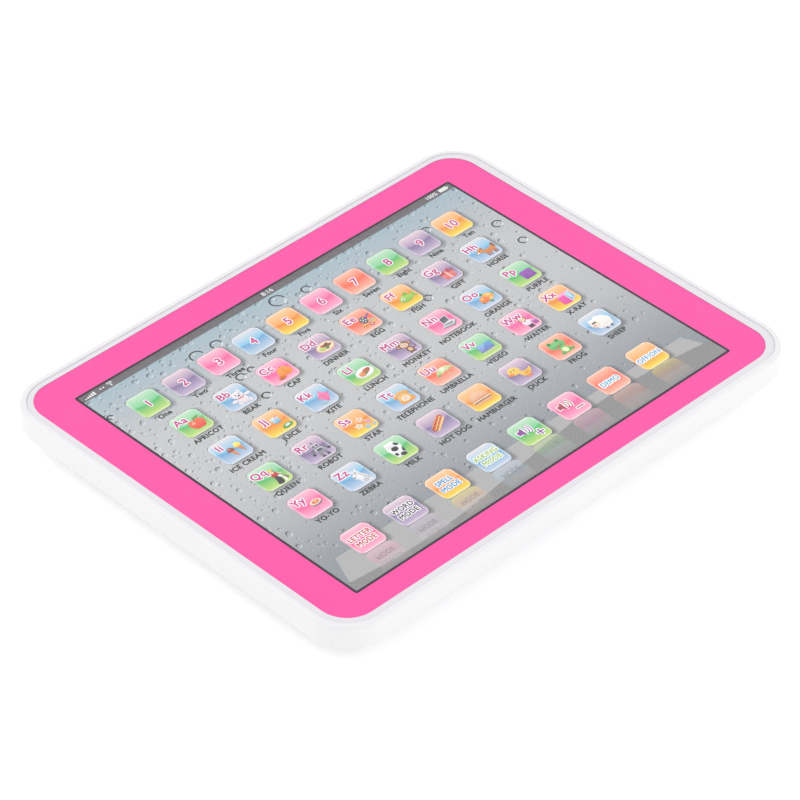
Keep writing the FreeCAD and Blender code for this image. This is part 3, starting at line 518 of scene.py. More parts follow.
class Artwork:
    """Flat shapes in millimetres, each laid a hair above the one before."""

    def __init__(self, level):
        self.points, self.faces, self.colours = [], [], []
        self.base = level
        self.start(0, 0)

    def start(self, x, y, scale=1.0, layer=0):
        """Moves to a new place and goes back down to its first layer."""
        self.x, self.y, self.scale, self.layer = x, y, scale, layer

    def lay(self, points, faces, colour, low=None, lift=1.0, tones=None):
        """Faces in one colour, fading to another at their bottom, or with a tone per point."""
        self.layer += lift
        level = self.base + self.layer * ink_step
        first = len(self.points)
        bottom = min(y for _, y in points)
        tall = max(max(y for _, y in points) - bottom, 0.001)
        high_tint, low_tint = tint(*colour), tint(*(low or colour))
        self.points += [(self.x + x * self.scale, self.y + y * self.scale, level) for x, y in points]
        for face in faces:
            self.faces.append([first + number for number in face])
            for number in face:
                up = (points[number][1] - bottom) / tall
                faded = [a * up + b * (1 - up) for a, b in zip(high_tint, low_tint)]
                self.colours.append(tint(*tones[number]) if tones else faded)

    def poly(self, points, colour, low=None, lift=1.0):
        """A flat shape with straight sides, always facing up."""
        area = sum(a[0] * b[1] - b[0] * a[1] for a, b in zip(points, points[1:] + points[:1]))
        order = range(len(points)) if area > 0 else reversed(range(len(points)))
        self.lay(points, [tuple(order)], colour, low, lift)

    def blob(self, points, colour, low=None, steps=4):
        """A smooth closed outline through a few points."""
        curve = []
        count = len(points)
        for number in range(count):
            before, here, after, beyond = (points[(number + shift) % count] for shift in (-1, 0, 1, 2))
            for step in range(steps):
                part = step / steps
                curve.append(tuple(0.5 * (
                    2 * here[axis] + (after[axis] - before[axis]) * part
                    + (2 * before[axis] - 5 * here[axis] + 4 * after[axis] - beyond[axis]) * part ** 2
                    + (3 * here[axis] - before[axis] - 3 * after[axis] + beyond[axis]) * part ** 3)
                    for axis in (0, 1)))
        self.poly(curve, colour, low)

    def disc(self, x, y, wide, tall, colour, low=None, lean=0, sides=20):
        """An oval from its centre and half sizes, leaning by an angle in degrees."""
        angle = math.radians(lean)
        ring = []
        for number in range(sides):
            turn = 2 * math.pi * number / sides
            across, up = wide * math.cos(turn), tall * math.sin(turn)
            ring.append((x + across * math.cos(angle) - up * math.sin(angle),
                         y + across * math.sin(angle) + up * math.cos(angle)))
        self.poly(ring, colour, low)

    def box(self, x, y, length, width, colour, low=None, corner=0.0, lean=0):
        """A rectangle from its centre, with rounded corners, leaning by an angle in degrees."""
        corners = rounded_outline(0, 0, length, width, max(corner, 0.01), 3)
        angle = math.radians(lean)
        self.poly([(x + a * math.cos(angle) - b * math.sin(angle),
                    y + a * math.sin(angle) + b * math.cos(angle)) for a, b in corners], colour, low)

    def line(self, points, width, colour):
        """A pen stroke with square joints."""
        for start, end in zip(points, points[1:]):
            way = Vector((end[0] - start[0], end[1] - start[1]))
            side = Vector((-way.y, way.x)).normalized() * width / 2
            tip = way.normalized() * width * 0.3
            self.poly([(start[0] - side.x - tip.x, start[1] - side.y - tip.y),
                       (end[0] - side.x + tip.x, end[1] - side.y + tip.y),
                       (end[0] + side.x + tip.x, end[1] + side.y + tip.y),
                       (start[0] + side.x - tip.x, start[1] + side.y - tip.y)], colour, lift=0.3)

    def arc(self, x, y, radius, width, start, end, colour, low=None, sides=14, tall=1.0, lift=1.0):
        """A curved band from one angle to another, in degrees."""
        band = []
        for reach, order in ((radius + width / 2, range(sides + 1)),
                             (radius - width / 2, range(sides, -1, -1))):
            for number in order:
                turn = math.radians(start + (end - start) * number / sides)
                band.append((x + reach * math.cos(turn), y + reach * tall * math.sin(turn)))
        self.poly(band, colour, low, lift)

    def words(self, text, cap, x, y, colour, bold=0.0, rim=0.0, squeeze=1.0, flip=1):
        """Lettering centred on a place, thickened by shifted copies, with a white rim if asked."""
        points, faces = lettering(text, cap, squeeze, flip)
        for reach, tone, copies in ((rim, (255, 255, 255), 12), (bold, colour, 6)):
            for step in range(copies if reach else 0):
                turn = 2 * math.pi * step / copies
                self.lay([(x + a + reach * math.cos(turn), y + b + reach * math.sin(turn))
                          for a, b in points], faces, tone, lift=0.2)
        self.lay([(x + a, y + b) for a, b in points], faces, colour, lift=0.4)

    def piece(self, name, body, slot):
        """Turns the finished artwork into a piece that rides on a body."""
        made = new_piece(name, self.points, self.faces, [ink], body)
        colours = made.data.color_attributes.new("ink", "FLOAT_COLOR", "CORNER")
        colours.data.foreach_set("color", [part for colour in self.colours for part in colour])
        return made


def lettering(text, cap, squeeze=1.0, flip=1):
    """Points and faces of a line of plain sans letters around its own middle."""
    curve = bpy.data.curves.new("letters", "FONT")
    curve.body = text
    curve.size = cap / 0.69
    curve.resolution_u = 3
    curve.space_character = 1.06
    holder = bpy.data.objects.new("letters", curve)
    mesh = bpy.data.meshes.new_from_object(holder)
    points = [(point.co.x, point.co.y) for point in mesh.vertices]
    faces = [tuple(face.vertices) for face in mesh.polygons]
    bpy.data.objects.remove(holder)
    bpy.data.curves.remove(curve)
    bpy.data.meshes.remove(mesh)
    middle = (min(point[0] for point in points) + max(point[0] for point in points)) / 2
    if flip < 0:
        faces = [tuple(reversed(face)) for face in faces]
    return [((a - middle) * squeeze, flip * (b - cap / 2)) for a, b in points], faces


# ------------------------------------------------------------------ large drops
# The biggest drops are drawn one by one: a thin dark ring, heavier at the upper left,
# with a glint opposite. They are part of the screen print.
ink_clearance = 0.004
ink_level = print_top + ink_clearance


def under_key(x, y):
    """True where a key pad would cover the screen print."""
    return any(abs(x - spot[0]) < key_size / 2 + 0.3 and abs(y - spot[1]) < key_size / 2 + 0.3
               for spot in number_places + sum(row_places, []) + function_places)


wet = Artwork(ink_level)
ring_steps = 40
ring_flatness = 0.9
for x, y, radius in ((-3.5, 66.7, 3.7), (-38.9, 63.1, 2.7), (-49, 63.1, 3.2), (9.5, 64.3, 2.2),
                     (93.4, 42.4, 2.4), (93.1, 27.9, 2.1), (-45.6, 42.1, 2.2), (-46.1, 27.4, 2),
                     (-39.7, 42.8, 1.6), (39.8, 27.4, 2), (-97.0, 58.3, 1.3), (70, 59, 2)):
    wet.start(screen_x + x, screen_y + y, radius)
    for step in range(ring_steps):
        angle = 360 / ring_steps * step
        turn = math.radians(angle + 180 / ring_steps)
        if under_key(screen_x + x + radius * math.cos(turn),
                     screen_y + y + radius * ring_flatness * math.sin(turn)):
            continue
        if angle < 260:
            middle, thick = 0.92, 0.7
            tone = tuple(44 - 18 * math.sin(turn) + extra for extra in (0, 4, 10))
        elif 288 <= angle < 342:
            middle, thick, tone = 0.9, 0.5, (240, 246, 250)
        else:
            middle, thick, tone = 0.95, 0.3, (140, 145, 150)
        wet.arc(0, 0, middle, thick / radius, angle, angle + 9.5, tone, sides=1, tall=ring_flatness,
                lift=0.03)
    wet.disc(-0.1, 0.45, 0.16, 0.09, (226, 232, 236))
wet.piece("large_water_drops", "case", "screen_print")


# ------------------------------------------------------------------ status bar
# A plain grey strip across the top of the screen print, with signal steps and a wireless
# fan on the left, the time in the middle and a full battery on the right.
bar = Artwork(ink_level)
bar_height = 4.2
bar_pale = (240, 240, 242)
bar.start(screen_x, screen_y + screen_width / 2 - bar_height / 2)
bar.box(0, 0, screen_length, bar_height, (98, 94, 99), (108, 104, 109))
for step in range(5):
    bar.box(-96.5 + step * 1.15, -0.95 + step * 0.19, 0.8, 0.5 + step * 0.38, bar_pale)
for x in (-88.6, -87.2):
    bar.disc(x, 0, 0.4, 0.4, bar_pale)
fan_x = -83.8
bar.disc(fan_x, -0.9, 0.38, 0.38, bar_pale)
for reach in (1.1, 2.0):
    bar.arc(fan_x, -1.0, reach, 0.42, 50, 130, bar_pale)
bar.words("8:16", 2.1, -2.7, 0, bar_pale, bold=0.06)
bar.words("100%", 1.9, 87.6, 0, bar_pale, bold=0.06)
bar.box(94, 0, 4.2, 2.0, bar_pale, corner=0.3)
bar.box(96.5, 0, 0.5, 0.9, bar_pale)
bar.box(94, 0, 3.5, 1.3, (236, 244, 232), (214, 228, 206), corner=0.1)
bar.piece("status_bar", "case", "screen_print")


# ------------------------------------------------------------------ shelf mirror images
# The glass shelf mirrors the eight function keys: a faint upside-down key under each one,
# fading out towards the front.
paints = {
    "green": ((206, 234, 208), (136, 214, 158), (92, 192, 120), (206, 230, 132)),
    "purple": ((236, 214, 224), (172, 150, 186), (138, 124, 164), (208, 190, 216)),
    "pink": ((252, 202, 216), (250, 124, 178), (246, 108, 164), (254, 190, 212)),
    "blue": ((232, 228, 232), (138, 204, 238), (116, 174, 216), (206, 218, 236)),
    "orange": ((252, 214, 172), (252, 174, 96), (240, 144, 76), (252, 230, 92)),
    "red": ((252, 200, 178), (253, 122, 98), (246, 116, 94), (252, 198, 178)),
}
function_paints = ["pink", "purple", "orange", "blue", "green", "pink", "red", "orange"]
function_words = [("LETTER", "MODE", (206, 60, 70)), ("WORD", "MODE", (70, 62, 82)),
                  ("SPELL", "MODE", (70, 150, 214)), ("ASKING", "MODE", (164, 200, 84)),
                  ("", "+", (146, 66, 160)), ("", "-", (178, 70, 80)),
                  ("DEMO", "", (80, 172, 216)), ("OFF/ON", "", (86, 164, 216))]
shelf_tone, front_tone = (184, 183, 183), (148, 147, 148)


def blend(first, second, amount):
    """A tone between two tones."""
    return tuple(a + (b - a) * amount for a, b in zip(first, second))


mirror = Artwork(ink_level)
mirror_depth = 11.0
mirror_gap = 0.35
key_corner = 2.6
columns, rows = 22, 26
pale_word = (138, 128, 134)
for (x, y), paint, (first, second, _) in zip(function_places, function_paints, function_words):
    _, upper, middle, lower = paints[paint]
    mirror_top = y - key_size / 2 - mirror_gap
    mirror.start(x, mirror_top)
    spots, patches, tones = [], [], []
    for row in range(rows + 1):
        depth = mirror_depth * row / rows
        cut = max(key_corner - depth, 0)
        half_wide = key_size / 2 - (key_corner - math.sqrt(key_corner ** 2 - cut ** 2))
        own = blend(lower, middle, depth / 6) if depth < 6 else blend(upper, (236, 236, 236), 0.3)
        for column in range(columns + 1):
            across = half_wide * (2 * column / columns - 1)
            wave_y = front_level + front_rise * math.sin(
                math.pi * (x - screen_x + across + front_shift) / front_run)
            behind = shelf_tone if mirror_top - screen_y - depth > wave_y else front_tone
            spots.append((across, -depth))
            tones.append(blend(behind, own, 0.36 * (1 - depth / mirror_depth) + 0.02))
            if row and column:
                corner = row * (columns + 1) + column
                patches.append((corner - 1, corner, corner - columns - 1, corner - columns - 2))
    mirror.lay(spots, patches, shelf_tone, tones=tones)
    if len(second) == 1:
        mirror.words(second, 2.6, 2.6, -4.2, pale_word, flip=-1)
    elif second:
        mirror.words(second, 2.3, 0, -4.5, pale_word, squeeze=0.88, flip=-1)
        mirror.words(first, 2.3, 0, -8.4, blend(pale_word, shelf_tone, 0.6), squeeze=0.88, flip=-1)
    else:
        mirror.words(first, 2.3, 0, -6.2, blend(pale_word, shelf_tone, 0.5), squeeze=0.88, flip=-1)
mirror.piece("shelf_mirror_images", "case", "screen_print")


# ------------------------------------------------------------------ key pads
# Fifty thin moulded pads, one per key. Each is printed as a glassy square: pale over a
# curved edge, rich below it, fading again at the bottom, with a soft pale rim.
def key_paint(name, top, upper, middle, bottom):
    """The printed face of a key in one colour: four tones from its top edge to its bottom."""
    material, tree, shader = printed_gloss(f"{name}_key_paint", 0.24)
    u, v, _ = split(tree, add(tree, "ShaderNodeUVMap", uv_map="tile"))
    side = maths(tree, "MULTIPLY_ADD", u, 2.0, -1.0)
    smile = maths(tree, "MULTIPLY_ADD", maths(tree, "MULTIPLY", side, side), 0.1, 0.45)
    smile = maths(tree, "MULTIPLY_ADD", noise(tree, 220, 1), 0.06, smile)
    high_part = maths(tree, "DIVIDE", maths(tree, "SUBTRACT", 1.0, v),
                      maths(tree, "SUBTRACT", 1.0, smile))
    low_part = maths(tree, "DIVIDE", maths(tree, "SUBTRACT", smile, v), smile)
    high_tone = mix_colour(tree, high_part, tint(*top), tint(*upper))
    low_tone = mix_colour(tree, low_part, tint(*middle), tint(*bottom))
    below = ramp(tree, maths(tree, "SUBTRACT", smile, v), -0.03, 0.03)
    face_tone = mix_colour(tree, below, high_tone, low_tone)
    rim = maths(tree, "MAXIMUM", maths(tree, "ABSOLUTE", side), maths(
        tree, "ABSOLUTE", maths(tree, "MULTIPLY_ADD", v, 2.0, -1.0)))
    face_tone = mix_colour(tree, maths(tree, "MULTIPLY", ramp(tree, rim, 0.8, 1.0), 0.4), face_tone,
                           (1, 1, 1, 1))
    tree.links.new(face_tone, shader.inputs["Base Color"])
    return material


key_materials = {name: key_paint(name, *tones) for name, tones in paints.items()}
key_bevel = 0.06


def pad_row_tree():
    """Nodes for a row of pads: a rounded plate with a softened top edge, at even steps."""
    tree = bpy.data.node_groups.new("key_pad_row", "GeometryNodeTree")
    tree.interface.new_socket("Pads", in_out="OUTPUT", socket_type="NodeSocketGeometry")
    sockets = {}
    for name, kind in (("Pads in Row", "Int"), ("First Pad", "Vector"), ("Pitch", "Float"),
                       ("Pad Size", "Float"), ("Corner", "Float"), ("Height", "Float"),
                       ("Edge Softening", "Float"), ("Paint", "Material")):
        made = tree.interface.new_socket(name, in_out="INPUT", socket_type=f"NodeSocket{kind}")
        sockets[name] = made.identifier
    given = tree.nodes.new("NodeGroupInput").outputs
    square = add(tree, "GeometryNodeCurvePrimitiveQuadrilateral",
                 {"Width": given["Pad Size"], "Height": given["Pad Size"]})
    rounded = add(tree, "GeometryNodeFilletCurve",
                  {"Curve": square, "Count": 8, "Radius": given["Corner"]}, mode="POLY")
    base = add(tree, "GeometryNodeFillCurve", {"Curve": rounded}, mode="NGONS")
    softening = given["Edge Softening"]
    wall = add(tree, "GeometryNodeExtrudeMesh", {
        "Mesh": base, "Individual": False,
        "Offset Scale": maths(tree, "SUBTRACT", given["Height"], softening)}, output=None)
    edge = add(tree, "GeometryNodeExtrudeMesh", {
        "Mesh": wall["Mesh"], "Selection": wall["Top"], "Individual": False,
        "Offset Scale": softening}, output=None)
    narrower = maths(tree, "MULTIPLY_ADD", maths(tree, "DIVIDE", softening, given["Pad Size"]),
                     -2.0, 1.0)
    raised = add(tree, "GeometryNodeScaleElements",
                 {"Geometry": edge["Mesh"], "Selection": edge["Top"], "Scale": narrower})
    both = tree.nodes.new("GeometryNodeJoinGeometry")
    tree.links.new(raised, both.inputs[0])
    tree.links.new(add(tree, "GeometryNodeFlipFaces", {"Mesh": base}), both.inputs[0])
    pad = add(tree, "GeometryNodeMergeByDistance", {"Geometry": both.outputs[0], "Distance": 0.000001})
    step = add(tree, "ShaderNodeCombineXYZ", {"X": given["Pitch"]})
    spots = add(tree, "GeometryNodeMeshLine", {"Count": given["Pads in Row"],
                                               "Start Location": given["First Pad"], "Offset": step})
    row = add(tree, "GeometryNodeInstanceOnPoints", {"Points": spots, "Instance": pad})
    solid = add(tree, "GeometryNodeRealizeInstances", {"Geometry": row})
    painted = add(tree, "GeometryNodeSetMaterial", {"Geometry": solid, "Material": given["Paint"]})
    tree.links.new(painted, tree.nodes.new("NodeGroupOutput").inputs[0])
    return tree, sockets


pad_row, pad_sockets = pad_row_tree()


def make_pads(node, places, names):
    """The pads of one node as one piece, with a tile map from corner to corner."""
    bottom, top = plate_box(node)[4:]
    paint_names = sorted(set(names))
    pads = bpy.data.objects.new(f"{node}_pads" if len(places) > 1 else f"{node}_pad",
                                bpy.data.meshes.new("pads"))
    bpy.context.scene.collection.objects.link(pads)
    maker = pads.modifiers.new("pad_row", "NODES")
    maker.node_group = pad_row
    pitch = places[1][0] - places[0][0] if len(places) > 1 else 0.0
    for name, value in (("Pads in Row", len(places)), ("Pitch", pitch * MM),
                        ("First Pad", (places[0][0] * MM, places[0][1] * MM, bottom * MM)),
                        ("Pad Size", key_size * MM), ("Corner", key_corner * MM),
                        ("Height", (top - bottom) * MM), ("Edge Softening", key_bevel * MM),
                        ("Paint", key_materials[paint_names[0]])):
        maker[pad_sockets[name]] = value
    solid = bpy.data.meshes.new_from_object(pads.evaluated_get(bpy.context.evaluated_depsgraph_get()))
    pads.modifiers.remove(maker)
    pads.data = solid
    solid.shade_flat()
    solid.materials.clear()
    for name in paint_names:
        solid.materials.append(key_materials[name])
    layer = solid.uv_layers.new(name="tile")
    for face in solid.polygons:
        number = min(range(len(places)), key=lambda near: abs(places[near][0] - face.center.x / MM))
        x, y = places[number]
        face.material_index = paint_names.index(names[number])
        for loop in face.loop_indices:
            point = solid.vertices[solid.loops[loop].vertex_index].co / MM
            layer.data[loop].uv = ((point.x - x) / key_size + 0.5, (point.y - y) / key_size + 0.5)
    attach(pads, node)
    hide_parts(node)


number_paints = ["green", "purple", "pink", "blue", "orange", "pink", "red", "green", "purple",
                 "orange"]
row_paints = [["green", "blue", "pink", "purple", "red", "orange", "purple", "blue"],
              ["blue", "orange", "blue", "green", "purple", "pink", "blue", "green"],
              ["green", "purple", "orange", "blue", "red", "green", "pink", "orange"],
              ["pink", "blue", "green", "purple", "orange", "purple", "red", "blue"]]
for number, paint in enumerate(number_paints):
    make_pads(f"number_key_{number + 1}", [number_places[number]], [paint])
for row, names in enumerate(row_paints):
    make_pads(f"picture_keys_row_{row + 1}", row_places[row], names)
for name, spot, paint in zip(function_keys, function_places, function_paints):
    make_pads(name, [spot], [paint])


# ------------------------------------------------------------------ captions
# Small dark lettering under each number and picture key, printed on the screen. They are
# ordinary words only.
number_words = ["One", "Two", "Three", "Four", "Five", "Six", "Seven", "Eight", "Nine", "Ten"]
row_words = [["APRICOT", "BEAR", "CAP", "DINNER", "EGG", "FISH", "GIFT", "HORSE"],
             ["ICE CREAM", "JUICE", "KITE", "LUNCH", "MONKEY", "NOTEBOOK", "ORANGE", "PURPLE"],
             ["QUEEN", "ROBOT", "STAR", "TELEPHONE", "UMBRELLA", "VIDEO", "WAITER", "X-RAY"],
             ["YO-YO", "ZEBRA", "MILK", "HOT DOG", "HAMBURGER", "DUCK", "FROG", "SHEEP"]]
captions = Artwork(ink_level)
caption_drop = 9.4
caption_black = (6, 6, 8)
for words, places in zip([number_words] + row_words, [number_places] + row_places):
    for word, (x, y) in zip(words, places):
        captions.start(x, y - caption_drop)
        captions.words(word, 2.25, 0, 0, caption_black, bold=0.14)
captions.piece("key_captions", "case", "screen_print")


# ------------------------------------------------------------------ numbers and function words
# Rose digits with a white rim on the number keys, and two short lines of words or a
# loudspeaker sign on the function keys.
rose = (204, 62, 140)
pad_level = plate_box("number_key_1")[5] + ink_clearance
for number, (x, y) in enumerate(number_places):
    digit = Artwork(pad_level)
    digit.start(x, y)
    digit.words(str(number + 1), 3.9, 0, -0.1, rose, bold=0.14, rim=0.55)
    digit.piece(f"number_key_{number + 1}_ink", f"number_key_{number + 1}", "key_print")

for name, (x, y), (first, second, colour) in zip(function_keys, function_places, function_words):
    label = Artwork(pad_level)
    label.start(x, y)
    if len(second) > 1:
        for word, line_y in ((first, 1.9), (second, -1.9)):
            label.words(word, 2.4, 0, line_y, colour, bold=0.1, rim=0.5, squeeze=0.9)
    elif first:
        label.words(first, 2.4, 0, -0.6, colour, bold=0.08, rim=0.6, squeeze=0.9)
    else:
        for grow, shade_of in ((0.42, (255, 255, 255)), (0.0, colour)):
            label.poly([(-4.6 - grow, 0.2 - grow), (-3.2 + grow, 0.2 - grow),
                        (-1.7 + grow, -1.0 - grow), (-1.7 + grow, 3.6 + grow),
                        (-3.2 + grow, 2.4 + grow), (-4.6 - grow, 2.4 + grow)], shade_of)
            for reach in (1.3, 2.4, 3.5):
                label.arc(-1.9, 1.3, reach, 0.42 + 2 * grow, -42, 42, shade_of)
        for grow, shade_of in ((0.42, (255, 255, 255)), (0.0, colour)):
            label.box(2.9, -3.0, 3.6 + 2 * grow, 0.6 + 2 * grow, shade_of)
            if second == "+":
                label.box(2.9, -3.0, 0.6 + 2 * grow, 3.6 + 2 * grow, shade_of)
    label.piece(f"{name}_ink", name, "key_print")


# ------------------------------------------------------------------ key letters and pictures
# Each picture key carries a large and a small letter with a white rim and a small cartoon
# of its word. The last six keys have only the cartoon, drawn larger.
white, black, skin = (250, 248, 248), (52, 48, 56), (250, 208, 176)
leaf_green, brown = (70, 150, 70), (160, 92, 52)


def draw_apricot(art):
    art.blob([(0, 2.3), (2.4, 2.7), (3.6, 0.3), (2.2, -2.6), (0, -2.9), (-2.2, -2.6), (-3.6, 0.3),
              (-2.4, 2.7)],
             (250, 120, 84), (232, 66, 60))
    art.disc(-1.3, 0.9, 1.0, 0.7, (254, 176, 140), lean=30)
    art.line([(0, 2.0), (0.5, 3.7)], 0.45, brown)
    art.blob([(0.5, 3.0), (1.8, 4.2), (3.4, 3.9), (2.2, 2.9)], (116, 190, 90), leaf_green)


def draw_bear(art):
    for x, y, wide, tall in ((-2.2, -2.9, 1.0, 1.4), (2.0, -3.1, 1.2, 1.2), (-3.4, -0.7, 1.5, 0.8),
                             (3.5, 0.4, 1.5, 0.8), (0, -1.4, 2.3, 2.6), (-2.4, 3.5, 0.9, 1.0),
                             (1.6, 3.7, 0.9, 1.0), (-0.3, 1.9, 2.6, 2.1)):
        art.disc(x, y, wide + 0.15, tall + 0.15, (186, 178, 196))
        art.disc(x, y, wide, tall, white, (226, 220, 232))
    art.box(-0.2, -0.2, 3.2, 0.5, (214, 84, 110), corner=0.2)
    art.disc(-1.0, 2.2, 0.28, 0.36, black)
    art.disc(0.9, 2.3, 0.28, 0.36, black)
    art.disc(0, 1.2, 0.55, 0.36, black)
    art.disc(0, -1.9, 1.3, 1.3, (244, 226, 230))


def draw_cap(art):
    art.blob([(-3.9, -1.7), (-2.5, -1.2), (-0.7, -2.6), (-2.6, -3.6), (-4.6, -3.0)], (236, 130, 40),
             (206, 96, 30))
    art.blob([(-2.6, -1.1), (-1.9, 1.8), (0.8, 3.2), (3.2, 1.7), (3.7, -1.2), (0.8, -2.6)],
             (252, 174, 76), (244, 136, 50))
    art.line([(0.7, 3.0), (0.5, -2.3)], 0.25, (226, 116, 40))
    art.disc(0.8, 3.1, 0.4, 0.3, (226, 116, 40))
    art.disc(-3.3, -3.0, 0.5, 0.25, black, lean=20)


def draw_plate(art, rim_tone, plate_tone, foods):
    art.disc(0, 0, 4.6, 3.0, rim_tone, lean=6)
    art.disc(0, 0.15, 4.0, 2.5, plate_tone, lean=6)
    for x, y, wide, tall, tone, lean in foods:
        art.disc(x, y - 0.18, wide, tall, tuple(int(part * 0.7) for part in tone), lean=lean)
        art.disc(x, y, wide, tall, tone, lean=lean)


def draw_dinner(art):
    draw_plate(art, (232, 186, 150), (250, 232, 200), (
        (-1.7, -0.2, 1.5, 1.2, (198, 214, 120), 10), (0.6, 1.0, 1.8, 0.6, (128, 72, 48), 20),
        (1.6, 0.1, 1.7, 0.55, (150, 84, 52), 15), (-0.9, 1.1, 0.7, 0.6, (222, 84, 70), 0),
        (0.3, -0.9, 0.8, 0.6, (96, 140, 60), 0)))


def draw_lunch(art):
    draw_plate(art, (226, 226, 228), (252, 252, 252), (
        (-1.3, -0.3, 1.9, 1.3, (240, 150, 92), 10), (1.4, 0.5, 1.9, 1.0, (186, 96, 62), 24),
        (0.4, 1.0, 1.2, 0.5, (214, 120, 80), 30), (-1.9, 0.3, 0.6, 0.4, (250, 200, 130), 0),
        (0.2, -0.8, 0.7, 0.4, (120, 160, 70), 0)))


def draw_eggs(art):
    art.disc(-0.2, 1.6, 1.9, 2.2, (108, 112, 124), (70, 74, 86), lean=-12)
    for x, y in ((-1.1, 2.4), (0.4, 2.7), (-0.3, 1.6), (0.7, 1.3), (-1.2, 1.0), (-0.2, 0.3)):
        art.disc(x, y, 0.3, 0.3, white)
    art.disc(-1.9, -1.9, 1.6, 1.3, (252, 206, 120), (240, 150, 90), lean=20)
    art.line([(-3.2, -1.9), (-2.5, -1.4), (-1.9, -2.1), (-1.3, -1.5), (-0.7, -2.0)], 0.4, (206, 60, 60))
    art.disc(2.4, -0.5, 1.5, 1.9, (246, 214, 130), (238, 176, 96), lean=16)
    art.line([(1.2, 0.2), (3.5, 0.9)], 0.5, (214, 90, 150))
    art.line([(1.0, -0.9), (3.6, -0.3)], 0.4, (120, 170, 200))
    art.line([(1.4, 2.3), (3.9, 3.6)], 0.7, (122, 96, 190))
    art.disc(0.8, -2.5, 1.1, 0.8, (196, 92, 96))
    art.disc(0.8, -2.4, 0.4, 0.3, white)


def draw_fish(art):
    art.blob([(2.2, 0.4), (4.6, 2.7), (4.0, 0.4), (4.9, -1.4), (2.3, -0.6)], (168, 214, 96),
             (126, 184, 66))
    art.blob([(-4.0, -0.6), (-2.6, 1.6), (0.4, 2.2), (2.9, 0.6), (2.6, -0.9), (0.2, -2.2),
              (-2.8, -2.0)],
             (186, 224, 110), (132, 190, 70))
    art.blob([(-0.6, 2.0), (1.0, 3.6), (1.8, 1.5)], (128, 186, 70))
    art.disc(-2.3, 0.0, 0.75, 0.85, white)
    art.disc(-2.4, -0.1, 0.36, 0.45, black)
    art.line([(-3.5, -1.2), (-2.6, -1.4)], 0.2, (84, 130, 50))


def draw_gift(art):
    art.poly([(-2.9, -3.3), (2.6, -3.3), (3.2, 0.5), (-3.2, 0.5)], (238, 140, 132), (222, 110, 110))
    art.poly([(-3.5, 0.3), (3.5, 0.3), (3.2, 1.7), (-3.0, 1.7)], (206, 88, 96), (190, 72, 84))
    art.box(0, -0.7, 1.0, 5.0, (250, 196, 186))
    art.blob([(0, 1.7), (-2.6, 3.2), (-1.9, 1.8)], (196, 72, 92))
    art.blob([(0, 1.7), (2.6, 3.2), (1.9, 1.8)], (196, 72, 92))
    art.disc(0, 1.9, 0.6, 0.5, (230, 110, 120))


def draw_horse(art):
    art.blob([(-1.6, 0.9), (1.6, 0.7), (3.6, 1.5), (4.4, 0.2), (3.2, -1.9), (0.6, -2.0), (-1.6, -1.6)],
             (232, 158, 88), (204, 122, 60))
    art.blob([(3.4, 1.2), (4.5, 3.0), (4.9, 1.2), (4.4, -0.6)], (150, 92, 58))
    for x in (-1.3, 0.0, 2.2, 3.2):
        art.box(x, -2.7, 0.8, 1.9, (196, 112, 56), (120, 76, 52))
    art.blob([(-1.2, 0.2), (-1.3, 2.0), (-2.6, 2.8), (-4.4, 1.3), (-4.7, 0.0), (-3.3, 0.2),
              (-2.4, -0.6)],
             (238, 168, 96), (214, 134, 70))
    art.blob([(-1.2, 1.0), (-0.9, 2.7), (-2.3, 3.4), (-1.9, 1.8)], (176, 104, 60))
    art.disc(-4.2, 0.5, 0.6, 0.5, (250, 232, 214))
    art.disc(-2.9, 1.5, 0.26, 0.32, black)


def draw_ice_cream(art):
    for x, scoop, lean in ((-1.9, (136, 70, 54), -8), (2.0, (250, 214, 90), -14)):
        lift = 0.9 if x > 0 else 0
        art.poly([(x - 1.3, 0.6 + lift), (x + 0.9, -3.6 + lift), (x + 1.3, 1.0 + lift)],
                 (236, 168, 120), (206, 120, 80))
        art.line([(x - 0.7, 0.2 + lift), (x + 1.0, -1.4 + lift)], 0.14, (190, 104, 66))
        art.line([(x + 0.8, 0.6 + lift), (x - 0.2, -1.4 + lift)], 0.14, (190, 104, 66))
        art.blob([(x - 1.7, 0.8 + lift), (x - 1.0, 2.6 + lift), (x + 0.5, 3.0 + lift),
                  (x + 1.7, 1.6 + lift), (x + 1.2, 0.6 + lift), (x, 0.4 + lift)],
                 tuple(min(part + 34, 255) for part in scoop), scoop)
        art.disc(x - 0.4, 2.1 + lift, 0.5, 0.3, tuple(min(part + 90, 255) for part in scoop), lean=lean)


def draw_juice(art):
    art.disc(1.7, -2.6, 2.6, 1.3, (74, 154, 84), lean=10)
    art.disc(1.8, -2.4, 1.9, 0.85, (126, 192, 120), lean=10)
    art.disc(1.8, -2.3, 1.2, 0.6, (226, 240, 236), lean=10)
    art.poly([(-1.5, 1.0), (1.5, 1.0), (1.9, 4.0), (-1.9, 4.0)], (196, 226, 240), (120, 184, 220))
    art.disc(0, 4.0, 1.9, 0.5, (224, 240, 248))
    art.disc(0, 1.05, 1.5, 0.35, (110, 172, 212))
    art.line([(0.5, 3.6), (1.9, 5.1)], 0.3, (240, 96, 110))
    art.box(-0.9, 2.5, 0.3, 2.0, (240, 250, 252))


def draw_kite(art):
    art.blob([(0.2, -3.2), (-1.4, -3.9), (-2.8, -3.0), (-4.0, -3.5), (-2.8, -2.6), (-1.2, -3.3)],
             (130, 190, 160), (110, 176, 170))
    art.poly([(1.0, 4.1), (3.9, 1.1), (0.8, -3.3), (-2.0, 0.7)], (252, 152, 196), (246, 104, 168))
    art.line([(1.0, 4.1), (0.8, -3.3)], 0.2, (196, 70, 130))
    art.line([(-2.0, 0.7), (3.9, 1.1)], 0.2, (196, 70, 130))


